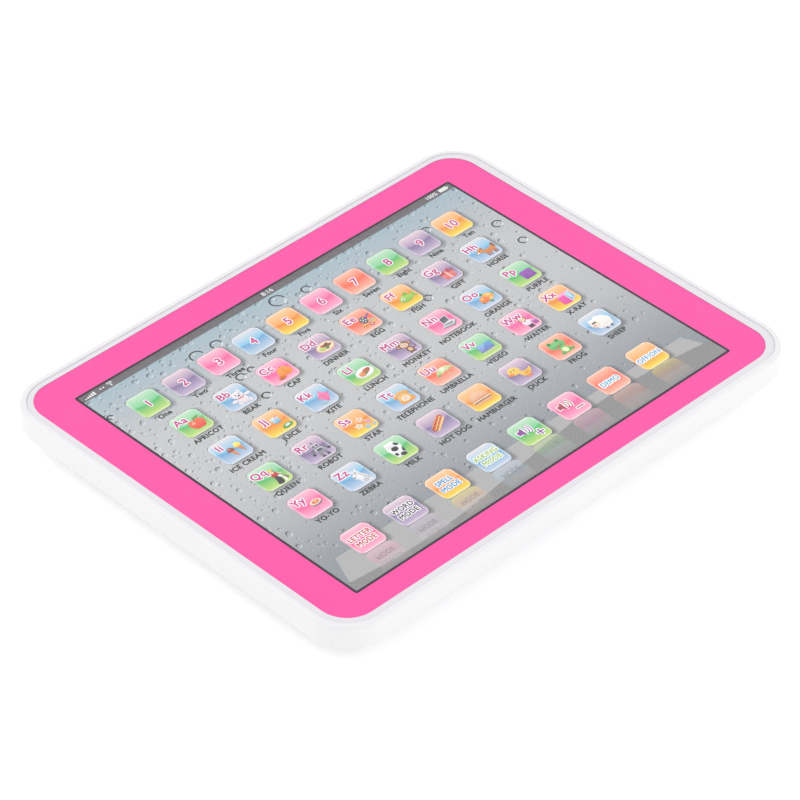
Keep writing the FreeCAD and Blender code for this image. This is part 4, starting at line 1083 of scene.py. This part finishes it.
def draw_monkey(art):
    art.line([(1.9, -2.3), (3.6, -1.6), (3.4, 0.1)], 0.4, (120, 70, 44))
    art.disc(0.4, -2.1, 1.7, 1.9, (140, 82, 52), (112, 64, 42))
    art.disc(0.4, -2.1, 1.0, 1.2, (232, 190, 152))
    art.box(-0.6, -4.0, 1.2, 0.7, (112, 64, 42), corner=0.3)
    art.box(1.4, -4.0, 1.2, 0.7, (112, 64, 42), corner=0.3)
    for x in (-2.7, 2.7):
        art.disc(x, 1.6, 1.0, 1.0, (140, 82, 52))
        art.disc(x, 1.6, 0.55, 0.55, (236, 186, 160))
    art.disc(0, 1.7, 2.5, 2.1, (150, 90, 58), (128, 76, 48))
    art.disc(0, 1.2, 1.8, 1.5, (250, 220, 196), (240, 200, 170))
    art.disc(-0.7, 1.7, 0.26, 0.34, black)
    art.disc(0.7, 1.7, 0.26, 0.34, black)
    art.line([(-0.6, 0.5), (0, 0.3), (0.6, 0.5)], 0.2, (150, 70, 60))


def draw_notebook(art):
    art.poly([(-2.0, -0.4), (2.2, 0.2), (2.5, 4.0), (-1.6, 3.4)], (214, 218, 222))
    art.poly([(-1.6, 0.0), (1.8, 0.5), (2.1, 3.6), (-1.3, 3.1)], (78, 84, 94), (112, 118, 128))
    art.poly([(-3.6, -2.0), (1.6, -3.0), (3.9, -0.9), (2.2, 0.2), (-2.0, -0.5)], (236, 238, 240),
             (186, 190, 196))
    art.poly([(-2.4, -1.3), (1.4, -2.0), (2.5, -0.8), (-1.4, -0.6)], (150, 156, 164))
    art.poly([(-3.6, -2.0), (1.6, -3.0), (3.9, -0.9), (3.9, -1.4), (1.6, -3.6), (-3.6, -2.5)],
             (118, 122, 130))


def draw_orange(art):
    for points in ([(-3.9, -1.4), (-2.3, -0.9), (-2.9, -2.6)], [(2.6, 0.7), (4.8, 1.4), (3.4, -0.4)],
                   [(-0.6, -2.4), (0.8, -3.7), (0.9, -2.0)], [(-1.4, 2.4), (-0.4, 4.0), (0.4, 2.6)]):
        art.blob(points, (98, 172, 84), (60, 130, 66))
    art.disc(1.2, 0.5, 2.5, 2.3, (252, 200, 104), (246, 160, 64))
    art.disc(-1.5, -0.3, 2.3, 2.1, (250, 158, 78), (238, 116, 56))
    art.disc(-2.2, 0.5, 0.7, 0.5, (254, 206, 150))
    art.disc(2.0, 1.3, 0.7, 0.5, (254, 228, 170))
    art.disc(1.4, -1.2, 0.9, 0.5, (252, 226, 150))


def draw_purple(art):
    art.box(0.6, -0.3, 6.0, 5.4, (156, 90, 190), (138, 70, 172), corner=0.7)


def draw_queen(art):
    art.blob([(-0.7, 0.6), (-1.6, -2.4), (-2.0, -4.2), (0.4, -4.5), (1.2, -1.8), (1.0, 0.6)],
             (74, 62, 70), black)
    art.blob([(0.4, 0.2), (1.7, -2.0), (1.4, -4.3), (2.4, -3.8), (2.7, -1.8), (1.7, 0.2)],
             (252, 252, 252))
    art.blob([(2.2, -0.6), (3.8, -2.6), (3.0, -3.6), (2.4, -2.2)], (150, 116, 96))
    art.blob([(-1.2, 0.3), (-1.4, 2.0), (0.4, 2.4), (2.0, 1.8), (1.6, 0.2)], (216, 66, 70),
             (186, 50, 60))
    art.line([(-1.2, 1.6), (-2.8, 2.2)], 0.6, skin)
    art.line([(1.8, 1.4), (3.2, 0.4)], 0.6, skin)
    art.disc(0.3, 3.1, 1.2, 1.2, (110, 60, 50))
    art.disc(0.2, 2.9, 0.9, 1.0, skin)
    art.poly([(-0.7, 3.9), (-0.9, 5.0), (-0.2, 4.4), (0.3, 5.2), (0.8, 4.4), (1.5, 5.0), (1.3, 3.9)],
             (250, 214, 90))


def draw_robot(art):
    for x, lean in ((-2.9, -30), (3.0, 26)):
        art.box(x, 0.4, 0.9, 3.0, (120, 118, 128), corner=0.3, lean=lean)
        art.disc(x * 1.25, -1.2, 0.8, 0.7, (70, 68, 78))
    for x in (-1.1, 1.3):
        art.box(x, -2.9, 1.1, 2.4, (150, 148, 158), (84, 82, 92), corner=0.3)
        art.box(x, -4.0, 1.7, 0.8, (70, 68, 78), corner=0.2)
    art.box(0.1, -0.3, 4.0, 3.2, (206, 204, 212), (134, 132, 144), corner=0.5)
    art.box(0.1, 0.0, 2.4, 1.4, (84, 84, 96), corner=0.2)
    art.box(0.1, 2.7, 3.4, 2.4, (220, 218, 226), (150, 148, 160), corner=0.6)
    art.disc(-0.7, 2.8, 0.5, 0.5, (60, 60, 70))
    art.disc(0.9, 2.8, 0.5, 0.5, (60, 60, 70))
    art.line([(0.1, 3.9), (0.1, 4.9)], 0.25, (90, 88, 98))
    art.disc(0.1, 5.0, 0.35, 0.35, (90, 88, 98))


def draw_star(art):
    for x, y, size, tone in ((0.6, 2.3, 2.1, (252, 226, 200)), (-2.2, -0.6, 2.2, (253, 232, 206)),
                             (2.6, -0.5, 1.8, (246, 182, 190)), (0.5, -2.9, 1.7, (186, 214, 228)),
                             (3.6, -3.1, 1.2, (196, 220, 232))):
        tips = []
        for corner in range(10):
            reach = size if corner % 2 == 0 else size * 0.52
            turn = math.radians(90 + 36 * corner + x * 6)
            tips.append((x + reach * math.cos(turn), y + reach * math.sin(turn)))
        art.poly(tips, tone, tuple(int(part * 0.94) for part in tone))
        art.disc(x - 0.35, y + 0.1, 0.15, 0.2, black, sides=8)
        art.disc(x + 0.35, y + 0.1, 0.15, 0.2, black, sides=8)


def draw_telephone(art):
    art.blob([(-3.6, 1.0), (-2.9, 3.2), (0.3, 3.9), (3.4, 3.2), (3.9, 1.2), (2.4, 1.2), (1.8, 2.2),
              (-1.6, 2.1), (-2.2, 0.9)], (250, 190, 96), (226, 146, 56))
    art.blob([(-3.3, -2.8), (-2.4, 0.8), (-0.8, 2.0), (1.4, 2.0), (2.8, 0.9), (3.7, -2.8), (0, -3.4)],
             (252, 196, 104), (236, 156, 66))
    art.disc(0.2, -0.7, 1.9, 1.6, (253, 244, 226))
    for turn in range(6):
        angle = math.radians(60 * turn)
        art.disc(0.2 + 1.1 * math.cos(angle), -0.7 + 0.9 * math.sin(angle), 0.28, 0.26, (206, 136, 70),
                 sides=8)
    art.disc(0.2, -0.7, 0.4, 0.35, (226, 150, 70))


def draw_umbrella(art):
    art.line([(0.2, 1.6), (0.9, -2.4), (1.7, -2.9), (2.2, -2.2)], 0.35, (216, 196, 130))
    art.blob([(-4.2, -0.9), (-3.2, 1.8), (0.2, 3.4), (3.8, 2.3), (4.6, 0.3), (3.1, 0.9), (1.9, 0.2),
              (0.4, 0.8), (-1.3, -0.1), (-2.6, 0.1)], (236, 240, 190), (150, 196, 96))
    art.blob([(-1.3, 0.0), (-1.2, 2.2), (0.2, 3.3), (1.2, 2.2), (1.9, 0.3), (0.4, 0.8)],
             (252, 252, 236), (214, 230, 170))
    art.line([(0.2, 3.2), (0.1, 4.2)], 0.3, (150, 190, 90))
    art.disc(-3.4, -0.3, 0.6, 0.5, (110, 170, 90))


def draw_video(art):
    art.poly([(-3.9, -2.0), (3.3, -1.9), (3.6, 2.5), (-3.6, 2.7)], (140, 186, 224), (104, 112, 190))
    art.poly([(-3.5, -1.7), (3.0, -1.6), (3.2, 2.2), (-3.3, 2.3)], (100, 172, 226), (122, 126, 200))
    art.poly([(-3.3, 2.3), (1.0, 2.3), (-2.4, -1.6), (-3.5, -1.6)], (150, 196, 236), (130, 140, 208))
    art.poly([(-3.7, -3.2), (3.4, -3.1), (3.3, -2.3), (-3.8, -2.4)], (224, 232, 206), (190, 206, 160))
    for x in (-2.0, -0.6, 0.8):
        art.disc(x, -2.75, 0.22, 0.22, (110, 130, 100), sides=8)


def draw_waiter(art):
    art.poly([(-1.2, -4.2), (1.4, -4.2), (1.2, -1.4), (-0.9, -1.4)], (96, 70, 96), (80, 56, 84))
    art.blob([(-1.4, 1.0), (1.4, 1.0), (1.7, -1.6), (0, -2.1), (-1.5, -1.5)], (252, 246, 250),
             (236, 222, 236))
    art.line([(1.3, 0.5), (2.6, -0.4), (3.3, -0.9)], 0.6, (250, 244, 250))
    art.poly([(1.8, -1.1), (4.5, -0.7), (4.3, -3.3), (2.2, -3.4)], (196, 106, 176), (164, 76, 150))
    art.disc(3.2, -0.8, 1.5, 0.45, (222, 160, 206))
    art.box(0, 0.6, 0.9, 0.4, (90, 50, 80))
    art.disc(-0.2, 2.3, 1.7, 1.6, (150, 96, 60), (120, 70, 44))
    art.disc(-0.2, 2.0, 1.3, 1.2, (253, 218, 180))
    art.disc(-0.6, 2.1, 0.17, 0.22, black, sides=8)
    art.disc(0.3, 2.1, 0.17, 0.22, black, sides=8)


def draw_xray(art):
    art.poly([(-3.4, -3.2), (0.6, -3.8), (0.9, 1.7), (-3.2, 1.8)], (244, 96, 178), (232, 66, 158))
    art.poly([(-3.2, 1.8), (0.9, 1.7), (4.2, 3.3), (-0.2, 3.4)], (252, 176, 214))
    art.poly([(0.6, -3.8), (4.1, -1.8), (4.2, 3.3), (0.9, 1.7)], (240, 226, 236), (222, 200, 220))
    art.poly([(1.1, -2.8), (3.8, -1.3), (3.8, 2.5), (1.2, 1.3)], (150, 214, 236), (96, 180, 220))
    art.line([(2.4, 1.5), (2.4, -1.8)], 0.3, white)
    for y in (-0.9, 0.0, 0.9):
        art.line([(1.7, y - 0.2), (3.2, y + 0.3)], 0.24, white)


def draw_yoyo(art):
    art.disc(0.6, 0.5, 2.7, 1.7, (126, 118, 130), lean=4)
    art.disc(0.5, 1.0, 2.7, 1.5, (252, 226, 206), (240, 204, 180), lean=4)
    art.disc(0.6, 1.1, 1.7, 0.85, (226, 110, 80), lean=4)
    art.disc(0.7, 1.2, 0.7, 0.35, (250, 210, 120), lean=4)
    art.arc(-1.4, -2.4, 0.9, 0.24, 0, 350, (236, 92, 150), tall=0.7)
    art.line([(-0.7, -1.9), (0.2, -0.8)], 0.22, (240, 130, 176))


def draw_zebra(art):
    art.blob([(-0.8, -4.2), (-1.4, -1.2), (-2.2, -0.4), (-2.6, 1.0), (-1.2, 2.4), (-0.8, 3.4),
              (1.0, 3.7), (1.8, 1.4),
              (3.0, -1.0), (3.3, -4.0), (1.2, -4.4)], (252, 252, 252), (226, 230, 236))
    for start, end in (((-0.7, 3.2), (0.6, 2.9)), ((-0.9, 2.5), (0.9, 2.2)), ((0.5, 1.4), (1.7, 1.2)),
                       ((0.9, 0.4), (2.2, 0.1)), ((1.2, -0.6), (2.7, -1.0)), ((0.9, -1.7), (3.1, -2.0)),
                       ((-0.5, -2.6), (3.1, -3.0)), ((-0.6, -3.5), (1.6, -3.7))):
        art.line([start, end], 0.26, (110, 108, 116))
    art.blob([(-0.9, 3.2), (-1.3, 4.7), (-0.1, 3.8)], (236, 238, 242))
    art.blob([(0.5, 3.6), (1.3, 4.9), (1.5, 3.3)], (236, 238, 242))
    art.disc(-0.4, 1.6, 0.24, 0.3, black)
    art.disc(-2.0, 0.5, 0.7, 0.55, (176, 172, 182))


def draw_milk(art):
    art.poly([(-3.0, 1.6), (-2.2, -3.9), (1.7, -4.2), (3.2, 1.3)], (254, 254, 254), (228, 230, 232))
    art.poly([(-3.0, 1.6), (3.2, 1.3), (2.0, 3.5), (-2.0, 3.7)], (244, 246, 244), (226, 230, 228))
    art.poly([(-2.1, 3.6), (2.1, 3.4), (2.1, 4.3), (-2.1, 4.5)], (254, 254, 254))
    art.blob([(-0.9, 1.5), (-1.5, 0.2), (-0.2, -0.7), (1.2, 0.0), (1.0, 1.4)], black)
    art.blob([(2.2, -0.6), (1.4, -1.8), (2.2, -2.6), (2.8, -0.2)], black)
    art.blob([(-2.1, -1.6), (-1.3, -1.3), (-0.9, -2.5), (-2.0, -2.8)], black)
    art.blob([(-0.6, -3.0), (0.6, -2.3), (1.8, -3.0), (1.5, -4.1), (-0.2, -4.0)], black)
    art.blob([(1.2, 3.0), (2.0, 3.2), (2.8, 1.7), (1.6, 1.7)], black)


def draw_hot_dog(art):
    art.box(0, 0, 8.6, 3.3, (238, 172, 112), (206, 122, 72), corner=1.6, lean=34)
    art.box(-0.2, 0.3, 9.4, 1.7, (216, 96, 72), (180, 66, 52), corner=0.8, lean=34)
    art.line([(-3.4, -1.9), (-2.3, -1.6), (-1.6, -0.7), (-0.5, -0.4), (0.2, 0.6), (1.3, 0.9),
              (2.0, 1.8), (3.2, 2.2)],
             0.4, (252, 214, 110))
    art.box(0.5, -1.0, 8.0, 0.6, (252, 214, 160), corner=0.3, lean=34)


def draw_hamburger(art):
    art.box(0, -2.7, 7.4, 1.5, (248, 196, 150), (236, 162, 110), corner=0.7)
    art.box(0, -1.8, 8.0, 0.6, (150, 96, 72), corner=0.3)
    art.box(0, -1.2, 8.4, 0.6, (250, 226, 190), corner=0.3)
    art.box(0, -0.7, 8.2, 0.4, (206, 120, 84), corner=0.2)
    art.blob([(-4.0, -0.5), (-3.6, 1.4), (-1.8, 2.9), (0, 3.2), (1.8, 2.9), (3.6, 1.4), (4.0, -0.5),
              (0, -0.5)],
             (248, 206, 176), (238, 170, 128))
    for x, y in ((-2, 1.4), (-0.8, 2.2), (0.6, 1.7), (1.9, 1.3), (-0.9, 0.8), (1.2, 0.5), (-2.5, 0.4)):
        art.disc(x, y, 0.22, 0.15, (254, 240, 214), sides=8)


def draw_duck(art):
    art.blob([(-0.4, -2.6), (1.4, -3.2), (3.6, -2.0), (4.8, 0.3), (3.2, -0.3), (1.0, -0.2), (0.2, 0.9),
              (-1.0, -0.4)],
             (252, 216, 112), (240, 178, 70))
    art.disc(-1.6, 1.6, 2.5, 2.2, (253, 222, 124), (246, 194, 84))
    art.blob([(-3.2, 1.2), (-5.0, 0.8), (-3.6, -0.2), (-2.6, 0.3)], (244, 140, 60))
    art.disc(-2.5, 2.1, 0.26, 0.34, black)
    art.disc(-1.0, 2.2, 0.26, 0.34, black)
    art.blob([(1.2, -0.9), (3.0, -0.9), (2.4, -2.1), (1.2, -2.0)], (236, 170, 66))
    for x in (0.6, 2.0):
        art.disc(x, -3.7, 0.9, 0.4, (240, 130, 56))


def draw_frog(art):
    art.disc(0.6, -2.3, 2.1, 2.0, (150, 214, 110), (104, 184, 84))
    art.disc(0.4, -2.3, 1.2, 1.4, (244, 246, 196))
    for x, y in ((-1.4, -3.6), (2.6, -3.5)):
        art.disc(x, y, 1.2, 0.7, (96, 176, 84))
    art.disc(-0.3, 1.4, 3.5, 2.2, (134, 206, 132), (100, 184, 108))
    for x in (-2.3, 1.4):
        art.disc(x, 3.2, 1.1, 1.1, (112, 196, 110))
        art.disc(x, 3.4, 0.42, 0.5, black)
    art.arc(-0.3, 1.5, 1.9, 0.26, 205, 335, (44, 110, 60), tall=0.6)
    art.disc(-0.2, 0.4, 0.6, 0.4, (214, 70, 70))


def draw_sheep(art):
    for x, y in ((0.6, 2.0), (2.2, 1.3), (3.2, -0.2), (2.4, -1.9), (0.6, -2.5), (-0.9, 1.3),
                 (-1.0, -1.8)):
        art.disc(x, y, 1.8, 1.6, (255, 255, 255), (238, 232, 228))
    art.disc(1.0, -0.3, 3.2, 2.4, (254, 252, 248), (242, 236, 230))
    art.disc(-2.2, 0.2, 1.9, 2.1, (252, 240, 228), (244, 222, 204))
    art.blob([(-3.6, 2.2), (-2.4, 3.0), (-0.9, 2.4), (-0.7, 1.4), (-2.2, 1.8)], (255, 255, 255))
    art.disc(-2.5, 0.8, 0.5, 0.5, (84, 64, 60))
    art.disc(-1.5, 0.9, 0.5, 0.5, (84, 64, 60))
    art.disc(-2.8, -0.6, 0.5, 0.35, (236, 150, 130))
    for x in (-0.2, 2.2):
        art.box(x, -4.2, 0.8, 1.2, (96, 78, 74), corner=0.3)


pictures = [[draw_apricot, draw_bear, draw_cap, draw_dinner, draw_eggs, draw_fish, draw_gift,
             draw_horse],
            [draw_ice_cream, draw_juice, draw_kite, draw_lunch, draw_monkey, draw_notebook, draw_orange,
             draw_purple],
            [draw_queen, draw_robot, draw_star, draw_telephone, draw_umbrella, draw_video, draw_waiter,
             draw_xray],
            [draw_yoyo, draw_zebra, draw_milk, draw_hot_dog, draw_hamburger, draw_duck, draw_frog,
             draw_sheep]]
alphabet = "ABCDEFGHIJKLMNOPQRSTUVWXYZ"
letter_height = 3.5
for row, drawings in enumerate(pictures):
    art = Artwork(pad_level)
    for column, draw in enumerate(drawings):
        x, y = row_places[row][column]
        number = row * 8 + column
        if number >= len(alphabet):
            art.start(x, y - 0.1, 1.08)
            draw(art)
            continue
        art.start(x + 1.6, y - 1.7, 0.97)
        draw(art)
        art.start(x, y, layer=art.layer)
        pair = alphabet[number] + alphabet[number].lower()
        half_wide = max(point[0] for point in lettering(pair, letter_height)[0])
        inside_key = half_wide + 0.6 - key_size / 2
        art.words(pair, letter_height, max(-2.9, inside_key), 3.3, rose, bold=0.14, rim=0.55)
    art.piece(f"picture_keys_row_{row + 1}_ink", f"picture_keys_row_{row + 1}", "key_print")


# ------------------------------------------------------------------ key guide and membrane
# Under the pads: a frosted guide plate, then three clear polyester sheets. Both outer
# sheets carry printed silver tracks, and the tail folds down to the board.
guide_white = moulded_plastic("guide_plastic", tint(214, 214, 218), tint(224, 224, 228), 0.5)
dress("key_guide", guide_white)


def sheet(name, base, mark, across):
    """Polyester with printed silver lines running one way."""
    material, tree, shader = new_material(name, Roughness=0.3, Coat_Weight=0.3)
    spot = split(tree, object_coordinates(tree))
    line_pitch = 0.0025
    band = maths(tree, "SINE", maths(tree, "MULTIPLY", spot[0 if across else 1],
                                     2 * math.pi / line_pitch))
    wander = maths(tree, "ADD", band, maths(tree, "MULTIPLY", noise(tree, 60), 0.6))
    lines = ramp(tree, wander, 1.0, 1.15)
    plain = mix_colour(tree, noise(tree, 40), base, mark)
    tree.links.new(mix_colour(tree, lines, plain, tint(176, 178, 182)), shader.inputs["Base Color"])
    tree.links.new(maths(tree, "MULTIPLY", lines, 0.7), shader.inputs["Metallic"])
    return material


dress("membrane_upper", sheet("membrane_upper_sheet", tint(226, 230, 228), tint(216, 222, 222), True))
dress("membrane_lower", sheet("membrane_lower_sheet", tint(222, 228, 228), tint(212, 218, 220), False))
spacer_film, tree, shader = new_material("spacer_film", Roughness=0.4)
tree.links.new(mix_colour(tree, noise(tree, 50), tint(236, 238, 236), tint(228, 232, 232)),
               shader.inputs["Base Color"])
dress("membrane_spacer", spacer_film)
dress("membrane_tail", sheet("tail_ribbon", tint(230, 232, 228), tint(222, 226, 224), True))
dress("tail_connector", moulded_plastic("connector_plastic", tint(232, 226, 210), tint(240, 234, 220),
                                        0.45))


# ------------------------------------------------------------------ circuit board
# A small green board with darker tracks under the mask, a black resin drop over the sound
# chip, a few parts soldered on, and steel screws.
board_green, tree, shader = new_material("board_green", Roughness=0.35, Coat_Weight=0.3)
grid = add(tree, "ShaderNodeTexBrick", {"Vector": object_coordinates(tree), "Scale": 260.0,
                                        "Mortar Size": 0.09, "Color1": tint(30, 112, 66),
                                        "Color2": tint(26, 104, 60), "Mortar": tint(44, 134, 84)})
tree.links.new(mix_colour(tree, noise(tree, 120), grid, tint(20, 96, 54)), shader.inputs["Base Color"])
dress("main_board", board_green)
resin, tree, shader = new_material("chip_resin", Roughness=0.25, Coat_Weight=0.5)
tree.links.new(mix_colour(tree, noise(tree, 300), tint(18, 18, 20), tint(34, 34, 38)),
               shader.inputs["Base Color"])
dress("sound_chip", resin)
parts_paint, tree, shader = new_material("component_body", Roughness=0.4)
tree.links.new(mix_colour(tree, ramp(tree, noise(tree, 70, 1), 0.45, 0.55), tint(60, 62, 70),
                          tint(176, 150, 110)), shader.inputs["Base Color"])
dress("board_components", parts_paint)


def metal(name, low, high, roughness, scale=400):
    """Plain metal with a fine grain of brightness and roughness."""
    material, tree, shader = new_material(name, Metallic=1.0)
    marks = noise(tree, scale, 3)
    tree.links.new(mix_colour(tree, marks, low, high), shader.inputs["Base Color"])
    spread = 0.14
    tree.links.new(maths(tree, "MULTIPLY_ADD", marks, spread, roughness - spread / 2),
                   shader.inputs["Roughness"])
    bump(tree, shader, marks, 0.000008)
    return material


screw_steel = metal("screw_steel", tint(150, 152, 156), tint(190, 192, 196), 0.34)
for node in ("board_screws", "casing_screws", "speaker_screws", "door_screw"):
    dress(node, screw_steel)
dress("screw_retainer", metal("retainer_steel", tint(120, 122, 128), tint(150, 152, 158), 0.42))


# ------------------------------------------------------------------ loudspeaker
# A small round loudspeaker faces the grille: pressed steel basket, paper cone on a foam
# surround, a black magnet ring and its steel yoke, held by a moulded clamp.
dress("speaker_basket", metal("basket_steel", tint(126, 128, 132), tint(160, 162, 166), 0.45))
dress("speaker_yoke", metal("yoke_steel", tint(150, 152, 158), tint(180, 182, 188), 0.4))
magnet_black, tree, shader = new_material("magnet_black", Roughness=0.7)
tree.links.new(mix_colour(tree, noise(tree, 500, 4), tint(34, 34, 38), tint(54, 54, 58)),
               shader.inputs["Base Color"])
dress("speaker_magnet", magnet_black)
cone_paper, tree, shader = new_material("cone_paper", Roughness=0.85)
fibres = noise(tree, 900, 4)
tree.links.new(mix_colour(tree, fibres, tint(38, 38, 42), tint(72, 70, 72)),
               shader.inputs["Base Color"])
bump(tree, shader, fibres, 0.00004)
dress("speaker_cone", cone_paper)
foam, tree, shader = new_material("surround_foam", Roughness=0.95)
tree.links.new(mix_colour(tree, noise(tree, 1200, 3), tint(22, 22, 24), tint(44, 44, 46)),
               shader.inputs["Base Color"])
dress("speaker_surround", foam)
dress("speaker_clamp", moulded_plastic("clamp_plastic", tint(206, 206, 210), tint(218, 218, 222), 0.5))


# ------------------------------------------------------------------ batteries and wiring
# Three plain cells with a banded jacket and bare metal ends lie in the bay on nickel
# springs. Thin red and black wires run to the board and the loudspeaker.
jacket, tree, shader = new_material("cell_jacket", Roughness=0.3, Coat_Weight=0.4)
reach = split(tree, object_coordinates(tree))[0]
low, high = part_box("battery_cell_1")
share = add(tree, "ShaderNodeMapRange", {"Value": reach, "From Min": low.x, "From Max": high.x})
sleeve = mix_colour(tree, ramp(tree, share, 0.66, 0.67), tint(46, 92, 140), tint(206, 208, 212))
sleeve = mix_colour(tree, maths(tree, "MULTIPLY", noise(tree, 200), 0.2), sleeve, tint(20, 40, 70))
ends = maths(tree, "MAXIMUM", ramp(tree, share, 0.03, 0.02), ramp(tree, share, 0.965, 0.975))
tree.links.new(mix_colour(tree, ends, sleeve, tint(190, 190, 194)), shader.inputs["Base Color"])
tree.links.new(ends, shader.inputs["Metallic"])
for number in range(1, 4):
    dress(f"battery_cell_{number}", jacket)
nickel = metal("spring_nickel", tint(170, 168, 160), tint(204, 202, 196), 0.26)
for node in ("contact_negative", "contact_positive", "contact_bridge_1", "contact_bridge_2"):
    dress(node, nickel)


def wire_plastic(name, split_axis, level):
    """Red wire on one side of a level and black on the other."""
    material, tree, shader = new_material(name, Roughness=0.4)
    where = split(tree, object_coordinates(tree))[split_axis]
    colour = mix_colour(tree, ramp(tree, where, level - 0.0001, level + 0.0001), tint(196, 36, 40),
                        tint(34, 34, 38))
    tree.links.new(mix_colour(tree, maths(tree, "MULTIPLY", noise(tree, 300), 0.15), colour,
                              tint(120, 120, 124)), shader.inputs["Base Color"])
    return material


for node in ("speaker_leads", "battery_leads"):
    low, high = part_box(node)
    dress(node, wire_plastic(f"{node}_plastic", 1, (low.y + high.y) / 2))


# ------------------------------------------------------------------ battery door
# A hinged door in the back, in the same white plastic as the case but a little more matt,
# closed by one captive screw so that a child cannot reach the cells.
dress("battery_door", moulded_plastic("door_plastic", tint(236, 236, 239), tint(243, 243, 245), 0.42,
                                      coat=0.1))
